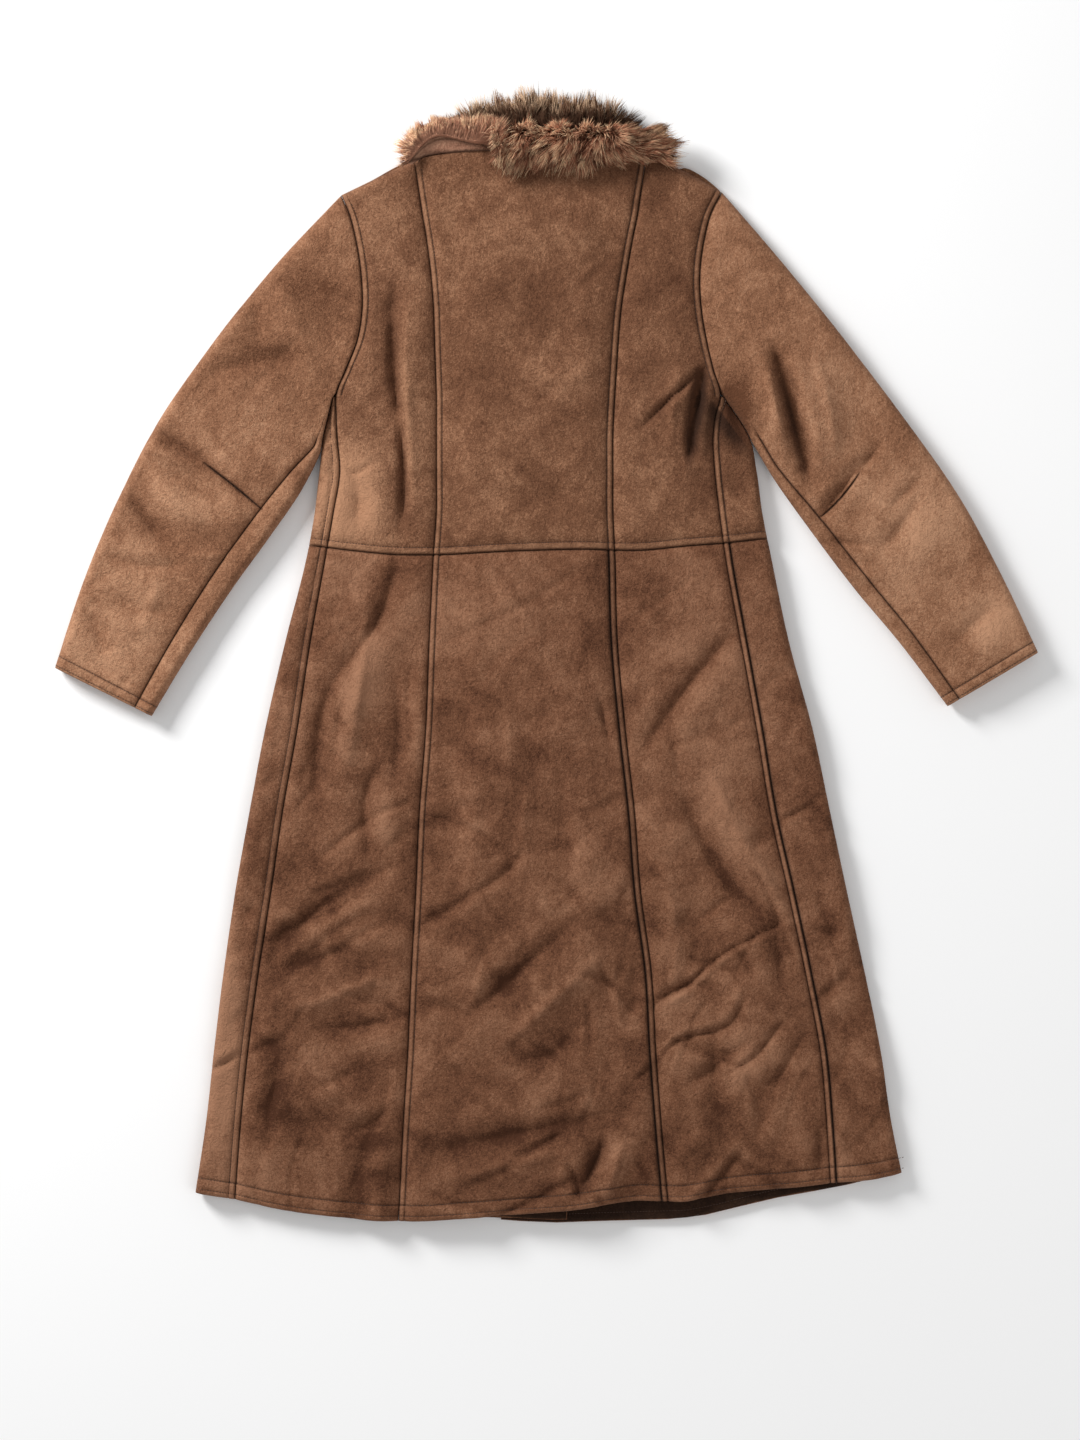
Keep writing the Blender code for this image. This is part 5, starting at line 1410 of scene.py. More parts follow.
@dataclass(frozen=True)
class FrontPanel:
    """One front: it shows as a strip beside the side seam, rolls under and reaches the lap."""

    side: Side
    upper: bool
    roll: float = 11.0
    right_edge: float = -51.0
    left_edge: float = 23.0

    @property
    def name(self) -> str:
        """Return the piece's name."""
        return f"front_{'upper' if self.upper else 'skirt'}_{self.side.word}"

    def columns(self) -> tuple[Spacing, Points, Points, Points]:
        """Return the strip's spacing, and each column's roll angle, run underneath and kind."""
        strip = Spacing(58.0, STEPS.seam, (0.0,), STEPS.middle)
        turn = np.radians(np.linspace(90.0, -90.0, STEPS.roll + 1)[1:-1])
        run = np.linspace(0.0, 1.0, 44)
        count = len(strip.fixed)
        angle = np.concatenate([np.full(count, math.pi / 2.0), turn, np.full(len(run), -math.pi / 2.0)])
        under = np.concatenate([np.zeros(count + len(turn)), run])
        kind = np.concatenate([np.zeros(count), np.ones(len(turn)), np.full(len(run), 2.0)])
        return strip, angle, under, kind

    def across(self, height: Points, form: BodyForm, inner: bool) -> Points:
        """Return each column's x at its height, on the outer or the inner face."""
        strip, angle, run, kind = self.columns()
        sign = self.side.value
        seam = SEAMS[self.side.word + "_side"](height) + sign * form.half_gap
        outline = SEAMS[self.side.word + "_edge"](height)
        roll = np.minimum(self.roll, 0.94 * np.abs(outline - seam))
        radius = np.maximum(roll - form.front_wall, 0.6) if inner else roll
        foot = outline - sign * roll
        pad = len(kind) - len(strip.fixed)
        length = np.abs(foot - seam)
        scale = np.minimum(1.0, length / (1.5 * strip.ends))
        reach = np.pad(strip.fixed, (0, pad)) * scale + np.pad(strip.share, (0, pad)) * length
        rolled = outline - sign * (roll - radius * np.cos(angle))
        lap = self.left_edge if sign < 0 else self.right_edge
        return np.where(kind < 0.5, seam + sign * reach, np.where(kind < 1.5, rolled, foot + (lap - foot) * run))

    def hem(self, x: Points) -> Points:
        """Return the height of the front's hem underneath."""
        lift = 4.0 * smooth((x + 90.0) / 40.0) if self.side is Side.LEFT else 0.0
        return FRONT_HEM(x) + lift

    def faces_under(self, x: Points, form: BodyForm, hem_distance: Points) -> tuple[Points, Points]:
        """Return the heights of the lower and the upper face where the front lies underneath."""
        if self.side is Side.RIGHT:
            low = np.zeros_like(x)
            high = form.front_wall - (form.front_wall - form.lap_wall) * smooth((66.0 - x) / 36.0)
        else:
            lift = smooth((x + 84.0) / 27.0)
            low = (form.lap_wall + 2.0 * form.half_gap) * lift
            high = form.front_wall + form.lap_height * lift
        return low, high - 1.8 * smooth((43.0 - hem_distance) / 8.0)

    def build(self, form: BodyForm) -> Wall:
        """Lay out the front."""
        strip, angle, run, kind = self.columns()
        count = len(kind)
        first_under = int(np.argmax(kind > 1.5))
        last_strip = len(strip.fixed) - 1

        def outside(height: Points) -> Points:
            return self.across(height, form, False)

        waist = meet(outside, WAIST, np.full(count, 120.0))
        waist[last_strip:first_under + 1] = waist[last_strip]
        if self.upper:
            y, shoulder, high, split = self.upper_rows(form, outside, waist + form.half_gap, first_under)
            away = np.full(y.shape, 1e3)
        else:
            above = meet(outside, BACK_HEM, np.full(count, -600.0))
            below = self.hem(outside(meet(outside, FRONT_HEM, np.full(count, -600.0))))
            low = above + (below - above) * np.clip((90.0 - np.degrees(angle)) / 180.0, 0.0, 1.0)
            away = Spacing(750.0, STEPS.hem, STEPS.waist[:6], STEPS.middle).rows(waist - form.half_gap - low)
            y = low + away
            shoulder = np.full((len(y), 1), math.pi / 2.0)
            high = waist
            split = len(y)
        x = outside(y)
        inner_y = y.copy()
        in_roll = shoulder < math.pi / 2.0 - 1e-6
        if self.upper:
            self.follow_armhole(y, x, first_under, split, run, form)
            drop = SHOULDER_ROLL - (SHOULDER_ROLL - form.front_wall) * np.cos(shoulder)
            share = shoulder_share(x)
            inner_y = np.where(in_roll, share * (high - drop) + (1.0 - share) * y, y)
        inner_x = self.across(inner_y, form, True)
        if self.upper:
            self.follow_armhole(inner_y, inner_x, first_under, split, run, form)
        top = form.top(x, y)
        if not self.upper:
            top = top + HEM.height(away, x, y)
        under = form.under(inner_x, y)
        low_face, high_face = self.faces_under(x, form, away)
        turn = np.sin(angle)[None, :]
        z = 0.5 * top * (1.0 + turn)
        inner_z = 0.5 * (under + form.front_wall) + 0.5 * (under - form.front_wall) * turn
        z[:, first_under:] = low_face[:, first_under:]
        inner_z[:, first_under:] = high_face[:, first_under:]
        active = None
        marks = form.marks(x, y)
        above_side = (kind < 1.5)[None, :]
        marks = {name: np.where(above_side, values, 0.0) for name, values in marks.items()}
        if self.upper:
            meets = SHOULDER_MEETS - form.half_gap
            z = np.where(in_roll, share * (meets - (meets - z) * np.sin(shoulder)) + (1.0 - share) * z, z)
            inner_z = np.where(in_roll, share * (meets - (meets - inner_z) * np.sin(shoulder))
                               + (1.0 - share) * inner_z, inner_z)
            active = np.ones((len(y) - 1, count - 1), dtype=bool)
            active[split:, :first_under] = False
        else:
            marks = HEM.mark(marks, away)
        return Wall(self.name, np.stack([x, y, z], axis=2), np.stack([inner_x, inner_y, inner_z], axis=2), marks,
                    active, keep_rows=(split,) if self.upper else (),
                    keep_columns=(last_strip, first_under))

    def upper_rows(self, form: BodyForm, outside: Callable[[Points], Points], low: Points,
                   first_under: int) -> tuple[Points, Points, Points, int]:
        """Return an upper front's rows, their shoulder angles, its top edge and the armpit's row."""
        across = outside(np.full(len(low), form.armpit))
        high = np.minimum(FRONT_NECK(across), TOP_EDGE(across))
        side = SEAMS[self.side.word + "_side"]
        high[:first_under + 1] = meet(side, TOP_EDGE, np.array([520.0]))[0]
        below = low + Spacing(180.0, STEPS.waist, (0.0,), STEPS.middle).rows(form.armpit - low)
        above = form.armpit + (high - SHOULDER_ROLL - form.armpit) * np.linspace(0.0, 1.0, 40)[1:, None]
        turn = np.radians(np.linspace(90.0, 0.0, STEPS.roll // 2 + 1)[1:, None])
        y = np.vstack([below, above, high - SHOULDER_ROLL * (1.0 - np.cos(turn))])
        shoulder = np.vstack([np.full((len(below) + len(above), 1), math.pi / 2.0), turn])
        return y, shoulder, high, len(below) - 1

    def follow_armhole(self, y: Points, x: Points, first_under: int, split: int, run: Points,
                       form: BodyForm) -> None:
        """Bring the columns underneath to the armhole above the armpit, in place."""
        sign = self.side.value
        lap = self.left_edge if sign < 0 else self.right_edge
        rows = slice(split, None)
        armhole = SEAMS[self.side.word + "_side"](y[rows, first_under:]) - sign * form.half_gap
        x[rows, first_under:] = armhole + (lap - armhole) * run[first_under:]


@dataclass(frozen=True)
class HemFacing:
    """The suede facing inside a front's hem, seen where the front hangs below the back."""

    side: Side
    start: float
    end: float
    wall: float = 1.5
    width: float = 30.0
    inset: float = 1.0
    stitch: float = 9.0

    @property
    def name(self) -> str:
        """Return the piece's name."""
        return "hem_facing_" + self.side.word

    def build(self, form: BodyForm) -> Wall:
        """Lay out the facing."""
        front = FrontPanel(self.side, False)
        x = np.linspace(self.start, self.end, max(20, int((self.end - self.start) / STEPS.middle)))
        away = Spacing(self.width, (0.0, 0.5, 1.2, 2.4), (0.0, 1.0), 1.3)(np.array([[self.width - self.inset]]))[0]
        away = (away + self.inset)[:, None]
        y = front.hem(x) + away
        x = np.broadcast_to(x, y.shape)
        _, plain = front.faces_under(x, form, np.full(y.shape, 1e3))
        edge = away - self.inset
        ripple = 0.25 * Clouds(9)(x, y, 9.0, 14.0)
        relief = ripple - 0.5 * bell(away - self.stitch, 0.8) - 0.8 * bell(edge, 0.9)
        outer = np.stack([x, y, np.minimum(plain + relief, plain + 0.3)], axis=2)
        inner = np.stack([x, y, plain - self.wall], axis=2)
        marks = {"tone": 0.3 * Clouds(9)(x, y, 30.0, 12.0), "line": 0.6 * bell(away - self.stitch, 0.9),
                 "worn": 0.8 * smooth((3.5 - edge) / 3.0)}
        return Wall(self.name, outer, inner, marks)


@dataclass(frozen=True)
class SleeveForm:
    """The form of one sleeve, a flattened tube from armhole to cuff."""

    side: Side
    wall: float = 8.0
    outer_roll: float = 11.0
    inner_roll: float = 9.2
    length: float = 600.0
    rise: float = 4.0
    slot: float = 2.8
    under_start: float = 0.11
    seam_far: float = 90.0
    seam_fade: float = 0.10
    beside: float = 0.6

    @property
    def seam_shows(self) -> float:
        """Return where along the sleeve its elbow seam comes into view."""
        return 0.19 if self.side is Side.RIGHT else 0.12

    def edge(self, name: str, along: Points) -> Points:
        """Return one edge's x and y at each place along the sleeve."""
        table = SLEEVES[self.side]
        return np.array([Curve(table, "along", f"{name}_{axis}")(along) for axis in XY])

    def wide(self, along: Points) -> Points:
        """Return the width from edge to edge."""
        return np.hypot(*(self.edge("inner", along) - self.edge("outer", along)))

    def slant(self, name: str, along: Points) -> Points:
        """Return the sine of the angle between the sleeve's rings and one of its edges."""
        step = self.edge("inner", along) - self.edge("outer", along)
        ahead = self.edge(name, along + 0.03) - self.edge(name, along)
        turned = np.abs(step[0] * ahead[1] - step[1] * ahead[0]) / (np.hypot(*step) * np.hypot(*ahead))
        return np.maximum(turned, 0.3)

    def limit(self, y: Points, form: BodyForm) -> Points:
        """Return the line that the sleeve keeps to: the armhole, and below it the body's edge."""
        sign = self.side.value
        beside = SEAMS[self.side.word + "_edge"](y) + sign * self.beside
        armhole = SEAMS[self.side.word + "_side"](y) + sign * form.half_gap
        part = np.clip((y - form.armpit) / 4.0, 0.0, 1.0)
        return armhole * part + beside * (1.0 - part)

    def point(self, along: Points, distance: Points, form: BodyForm) -> tuple[Points, Points]:
        """Return x and y at a distance in from the outer edge, eased to the armhole at the start."""
        share = distance / self.wide(along)
        outer = self.edge("outer", along)
        x, y = outer + (self.edge("inner", along) - outer) * share
        first = np.zeros_like(along)
        start = self.edge("outer", first)
        start_x, start_y = start + (self.edge("inner", first) - start) * share
        ease = np.clip(1.0 - along / 0.45, 0.0, 1.0) ** 2
        x = x + (self.limit(start_y, form) - start_x) * ease
        keep = np.maximum if self.side is Side.RIGHT else np.minimum
        return keep(x, self.limit(y, form)), y

    def dart(self) -> Creased:
        """Return the elbow dart's sewn line."""
        start, bend, end = DARTS[self.side]
        return Creased(Table(FOLD_NAMES, ((*start, *bend, *end, 1.3, 1.0),)))

    def place(self, x: float, y: float) -> tuple[float, float]:
        """Return the place along the sleeve and the share across it of a point."""
        along = np.linspace(0.0, 1.0, 401)
        outer = self.edge("outer", along)
        step = self.edge("inner", along) - outer
        off = np.abs(step[0] * (y - outer[1]) - step[1] * (x - outer[0])) / np.hypot(*step)
        best = int(np.argmin(off))
        share = ((x - outer[0, best]) * step[0, best] + (y - outer[1, best]) * step[1, best])
        return float(along[best]), float(share / (step[0, best] ** 2 + step[1, best] ** 2))


class SleeveGrid:
    """Lays out the rings of one sleeve piece."""

    def __init__(self, plan: SleeveForm, form: BodyForm) -> None:
        """Settle the columns round the sleeve.

        Args:
            plan: the sleeve's form.
            form: the body's form.
        """
        self.plan = plan
        self.form = form
        over = Spacing(150.0, STEPS.seam[:7], (0.0,), STEPS.middle)
        self.over_fixed = over.fixed
        self.over_share = over.share
        self.turn = np.radians(np.linspace(90.0, -90.0, STEPS.roll + 1)[1:-1])
        self.under = np.linspace(0.0, 0.5, 9)
        self.rest = np.linspace(0.5, 1.0, 9)
        self.back_turn = np.radians(np.linspace(-78.0, 78.0, STEPS.roll + 1))
        self.strip = Spacing(18.0, STEPS.seam[:7], (0.0,), 2.4)

    def measures(self, along: Points) -> dict[str, Points]:
        """Return the widths and rolls at each place."""
        plan = self.plan
        wide = plan.wide(along)
        outer_slant = plan.slant("outer", along)
        inner_slant = plan.slant("inner", along)
        back_roll = plan.inner_roll / inner_slant
        strip = Curve(SLEEVES[plan.side], "along", "under_strip")(along)
        return {
            "wide": wide,
            "roll": plan.outer_roll / outer_slant,
            "tight": max(plan.outer_roll - plan.wall, 0.6) / outer_slant,
            "back_roll": back_roll,
            "back_tight": max(plan.inner_roll - plan.wall, 0.6) / inner_slant,
            "seam": wide - np.maximum(strip, back_roll + 0.8),
        }

    def top(self, x: Points, y: Points, along: Points, seam_distance: Points) -> Points:
        """Return the height of the sleeve's upper face."""
        plan, form = self.plan, self.form
        armhole = along * plan.length
        seam_distance = seam_distance + plan.seam_far * (1.0 - smooth((along - plan.under_start) / plan.seam_fade))
        distance = np.minimum(seam_distance, armhole)
        puffed = (form.puff * (1.0 - np.exp(-distance / form.puff_reach))
                  - form.edge_sink * bell(distance, form.seam_width))
        sewn = 0.0
        for away, share in ((seam_distance, smooth((along - plan.seam_shows) / 0.04)), (armhole, 1.0)):
            sewn = sewn + share * form.seam_relief(away, away)
        sewn = sewn - 2.2 * plan.dart()(x, y)
        folds = form.folds(x, y) + form.creases(x, y)
        flat = smooth((distance - 2.0) / 20.0)
        loose = (form.uneven(x, y) + crumpled(x, y)) * flat
        height = form.back_top + plan.rise * smooth(along / 0.3) + puffed + sewn + folds + loose
        return np.maximum(height, plan.wall + 3.4 + form.least_wall)

    def finish(self, along: Points, outer: Points, inner: Points, angle: Points, seam: Points,
               shifted: Points) -> tuple[Points, Points, Marks]:
        """Turn distances round the sleeve into points.

        Args:
            along: rows' places along the sleeve.
            outer: distances in from the outer edge, on the outer face.
            inner: the same on the inner face.
            angle: roll angle of each column.
            seam: the elbow seam's distance in.
            shifted: each point's own place along the sleeve.

        Returns:
            Outer points, inner points and marks.
        """
        plan, form = self.plan, self.form
        x, y = plan.point(shifted, outer, form)
        inner_x, inner_y = plan.point(shifted, inner, form)
        seam_distance = np.abs(outer - seam)
        turned = np.sin(angle)
        top = self.top(x, y, shifted, seam_distance)
        cuff = (1.0 - shifted) * plan.length
        top = top + CUFF.height(cuff, y, x)
        slot = form.layer_gap + plan.slot * smooth(along / 0.2)
        z = 0.5 * top * (1.0 + turned)
        inner_z = plan.wall + 0.5 * slot * (1.0 + turned)
        above = smooth((turned + 0.2) / 0.4)
        line = 0.9 * smooth((shifted - plan.seam_shows) / 0.04) * bell(seam_distance, 1.0)
        line = np.maximum(line, bell(shifted * plan.length, 1.0))
        line = np.maximum(line, np.clip(1.5 * plan.dart()(x, y), 0.0, 1.0))
        # Painted shadows of the sleeve's hollows join its dark lines; the tone carries painted shading of its folds.
        line = np.maximum(line, np.clip(form.shadows(x, y), 0.0, 0.95))
        marks = {"tone": cloth_tone(x, y, form.folds(x, y) + form.creases(x, y)) * above, "line": line * above,
                 "worn": 0.25 * (1.0 - np.abs(turned)) * above}
        marks = CUFF.mark(marks, cuff)
        return (np.stack([x, y, z], axis=2),
                np.stack([inner_x, inner_y, np.broadcast_to(inner_z, inner_x.shape)], axis=2), marks)

    def upper(self) -> Wall:
        """Lay out the upper sleeve: a whole ring at first, then from the elbow seam to the forearm seam."""
        plan = self.plan
        start = np.linspace(0.0, plan.under_start * plan.length, 21)
        start = np.concatenate([[0.0, 0.6, 1.4, 2.4], start[1:]])
        rest = np.arange(start[-1] + STEPS.middle, plan.length - STEPS.cuff[-1], STEPS.middle)
        elbow, _ = plan.place(*DARTS[plan.side][0])
        middle = elbow * plan.length
        rest = rest[np.abs(rest - middle) > STEPS.dart[-1] + 1.0]
        rest = np.sort(np.concatenate([rest, middle + np.array(STEPS.dart)]))
        places = np.concatenate([start, rest, plan.length - np.array(STEPS.cuff)[::-1]]) / plan.length
        along = places[:, None]
        size = self.measures(along)
        flat = size["seam"] - size["roll"]
        scale = np.minimum(1.0, flat / 60.0)
        from_seam = self.over_fixed * scale + self.over_share * flat
        gap = np.where(along > plan.under_start + 1e-6, self.form.half_gap, 0.0)
        over = size["seam"] - np.maximum(from_seam, gap)
        shift = self.dart_shift(along, over / size["wide"])
        roll_out = [size["roll"] - radius * np.cos(self.turn) for radius in (size["roll"], size["tight"])]
        under = size["roll"] + self.under * flat
        rest_run = size["roll"] + self.rest * (size["wide"] - size["back_roll"] - size["roll"])
        near = size["wide"] - size["back_roll"]
        roll_in = [near + radius * np.cos(self.back_turn) for radius in (size["back_roll"], size["back_tight"])]
        groups = [np.concatenate([over, roll_out[face], under, rest_run[:, 1:-1], roll_in[face], near], axis=1)
                  for face in (0, 1)]
        half = math.pi / 2.0
        angle = np.concatenate([np.full(over.shape[1], half), self.turn, np.full(len(self.under), -half),
                                np.full(len(self.rest) - 2, -half), self.back_turn, [half]])
        shifted = np.broadcast_to(along, groups[0].shape).copy()
        shifted[:, :over.shape[1]] += shift
        outer, inner, marks = self.finish(along, *groups, angle, size["seam"], shifted)
        split = len(start) - 1
        first = over.shape[1] + len(self.turn) + len(self.under) - 1
        active = np.ones((len(places) - 1, outer.shape[1]), dtype=bool)
        active[split:, first:] = False
        return Wall("sleeve_upper_" + plan.side.word, outer, inner, marks, active, keep_rows=(split,),
                    keep_columns=(over.shape[1] - 1, first, outer.shape[1] - 1))

    def dart_shift(self, along: Points, share: Points) -> Points:
        """Return how far each row bends so that one row runs along the elbow dart."""
        places = [self.plan.place(*point) for point in DARTS[self.plan.side]]
        shares = np.array([place[1] for place in places])[::-1]
        alongs = np.array([place[0] for place in places])[::-1]
        middle = places[0][0]
        bend = np.interp(share, shares, alongs) - middle
        bend = bend * smooth(share / max(shares[0], 1e-3))
        return bend * smooth((0.16 - np.abs(along - middle)) / 0.16)

    def lower(self) -> Wall:
        """Lay out the under sleeve, from the forearm seam round the inner edge to the elbow seam."""
        plan = self.plan
        begin = plan.under_start * plan.length + 2.0 * self.form.half_gap
        middle = np.arange(begin, plan.length - STEPS.cuff[-1], STEPS.middle)
        places = np.concatenate([middle, plan.length - np.array(STEPS.cuff)[::-1]]) / plan.length
        along = places[:, None]
        size = self.measures(along)
        flat = size["seam"] - size["roll"]
        near = size["wide"] - size["back_roll"]
        forearm = size["roll"] + 0.5 * flat + self.form.half_gap
        rest = forearm + (self.rest[:-1] - 0.5) / 0.5 * (near - forearm)
        roll_in = [near + radius * np.cos(self.back_turn) for radius in (size["back_roll"], size["back_tight"])]
        edge = size["seam"] + self.form.half_gap
        length = np.maximum(near - edge, 0.4)
        strip = edge + self.strip(length)[:, ::-1]
        groups = [np.concatenate([rest, roll_in[face], strip], axis=1) for face in (0, 1)]
        half = math.pi / 2.0
        angle = np.concatenate([np.full(rest.shape[1], -half), self.back_turn, np.full(strip.shape[1], half)])
        shifted = np.broadcast_to(along, groups[0].shape)
        outer, inner, marks = self.finish(along, *groups, angle, size["seam"], shifted)
        return Wall("sleeve_under_" + plan.side.word, outer, inner, marks,
                    keep_columns=(rest.shape[1] - 1, rest.shape[1] + len(self.back_turn) - 1))

    def cuff_lines(self, wall: Wall) -> list[Points]:
        """Return the stitched lines round the cuff of one piece, on the side that shows."""
        columns = wall.outer.shape[1] if wall.active is None else wall.keep_columns[1] + 1
        places = STEPS.cuff[::-1]
        lines = []
        for stitch in (CUFF.low_stitch, CUFF.high_stitch):
            row = len(wall.outer) - len(places) + places.index(stitch)
            line = wall.outer[row, :columns]
            lines.append(line[line[:, 2] > self.plan.outer_roll] + (0.0, 0.0, 0.2))
        return lines


@dataclass(frozen=True)
class UnderCollar:
    """The suede under the collar, seen at the left between the fur and the neck."""

    name: str = "undercollar"
    clear: float = 0.05
    floor: float = 21.4
    wall: float = 2.5
    slope: float = 2.0
    drop: float = 9.0
    roll_drop: float = 3.0
    roll_over: float = 4.0
    tip: float = -157.0
    drop_top: float = 568.0
    drop_reach: float = 8.0

    def build(self, form: BodyForm) -> Wall:
        """Lay out the lens of suede."""
        stations = UNDERCOLLAR.column("x")
        x = np.linspace(stations[0], stations[-1], 64)
        across = np.linspace(0.0, 1.0, 14)[:, None]
        rolled = shoulder_share(x)
        lower = TOP_EDGE(x) + self.clear - self.roll_over * rolled ** 2 * smooth((x - self.tip) / 7.0)
        y = lower + (np.maximum(Curve(UNDERCOLLAR, "x", "upper")(x), lower + 1.0) - lower) * across
        x = np.broadcast_to(x, y.shape)
        drop = self.drop * (1.0 - rolled) ** 2 + self.roll_drop * rolled
        base = self.floor + self.slope * across - drop * smooth((self.drop_top - y) / self.drop_reach)
        ripple = 0.5 * Clouds(21)(x, y, 13.0, 9.0) * np.sin(math.pi * across)
        top = base + self.wall + np.minimum(ripple, 0.4)
        edge = Curve(COLLAR_FALL, "x", "lower")(x)
        # Dark line along the lower edge: the seam with painted shadow where the lens meets the back; a thinner dark
        # line along the fur's edge.
        line = np.maximum(0.95 * bell(y - TOP_EDGE(x), 2.0), 0.7 * bell(y - edge, 1.0))
        marks = {"tone": 0.5 * Clouds(22)(x, y, 24.0, 12.0), "line": line, "worn": 0.5 * bell(y - edge + 2.5, 2.0)}
        return Wall(self.name, np.stack([x, y, top], axis=2), np.stack([x, y, base], axis=2), marks)


@dataclass(frozen=True)
class CollarBase:
    """Height of what the collar's fall lies on."""

    inner_depth: float = 21.0
    clear: float = 0.4
    wall: float = 2.5
    slope: float = 2.0

    def __call__(self, x: Points, y: Points, form: BodyForm) -> Points:
        """Return the height at each point."""
        low = np.minimum(y, TOP_EDGE(x))
        distance = form.seam_distance(x, low)
        on_back = (form.back_top + form.lap_rise(x, low) + form.puff * (1.0 - np.exp(-distance / form.puff_reach))
                   - form.seam_sink * bell(distance, form.seam_width) + form.folds(x, low))
        over_inner = self.inner_depth * smooth((y - 552.0) / 12.0)
        on_under = self.inner_depth + self.clear + self.wall + self.slope
        lens = smooth((-30.0 - x) / 12.0) * smooth((x + 172.0) / 10.0) * smooth((y - 545.0) / 8.0)
        return np.maximum(np.maximum(on_back, over_inner), on_under * lens) + self.clear


@dataclass(frozen=True)
class Fur:
    """Fur of one part of the collar: a bed of dense wool, and the hairs that grow out of it."""

    name: str
    flow: Table
    finish: FurFinish
    hairs: int
    length: float
    spread: float
    thickness: float
    seed: int
    layers: int
    shade_start: float
    shade_reach: float
    inset: float = 4.0
    blend: float = 12.0
    short_end: float = -108.0
    short_reach: float = 40.0
    shortest: float = 0.6
    rim_start: float = 584.0
    rim_reach: float = 9.0
    rim_share: float = 0.0
    bare_end: float = -28.0
    bare_reach: float = 56.0
    bare: float = 0.0
    bed_share: float = 0.0

    def flows(self, x: Points, y: Points) -> Points:
        """Return the way that the hairs lie at each point, as vectors."""
        weights = 0.0
        total = 0.0
        for place in self.flow.records():
            weight = bell(np.hypot(x - place["x"], y - place["y"]), self.blend)[..., None] + 1e-9
            total = total + weight * np.array([place["flow_x"], place["flow_y"], place["lift"]])
            weights = weights + weight
        return total / weights

    def bed(self, x: Points, y: Points, top: Points, base: Points) -> Wall:
        """Lay out the bed of wool that the hairs grow from."""
        lumps = 1.1 * Clouds(self.seed)(x, y, 11.0, 9.0)
        top = np.maximum(top + lumps, base + 1.5)
        # Shade above zero is painted shade; below zero it is the bare lobe's paler colour.
        shade = smooth((self.shade_start - y) / self.shade_reach)
        shade = shade - self.bare * smooth((self.bare_end - x) / self.bare_reach) * (1.0 - shade)
        grow = self.shortest + (1.0 - self.shortest) * smooth((x - self.short_end) / self.short_reach)
        grow = grow * (1.0 - self.rim_share * smooth((y - self.rim_start) / self.rim_reach))
        # With no tint outside the bare lobe the bed takes the dark colour: painted shade down in the pile.
        marks = {"flow": self.flows(x, y), "grow": grow, "along": np.full_like(x, self.bed_share),
                 "tint": np.clip(-0.8 * shade, 0.0, 1.0), "shade": shade}
        return Wall(self.name, np.stack([x, y, top], axis=2), np.stack([x, y, base], axis=2), marks)

    def grow(self, bed: bpy.types.Object, strand: bpy.types.Object, layer: int) -> bpy.types.Object:
        """Grow one layer of hairs on a bed with Geometry Nodes, and return it as a plain mesh.

        Args:
            bed: the wool that they grow from, with its flow.
            strand: one hair, standing along Z, a metre long.
            layer: the layer's number.

        Returns:
            The hairs' object.
        """
        area = sum(face.area for face in bed.data.polygons) * 0.55
        host = linked(f"{self.name}_hairs_{layer}", bed.data.copy())
        values = {"Strand": strand, "Density": self.hairs / area, "Length": self.length * MM,
                  "Spread": self.spread, "Thickness": self.thickness * MM, "Seed": self.seed + 10 * layer,
                  "Material": self.finish.material()}
        return realised(host, fur_tree(), values)


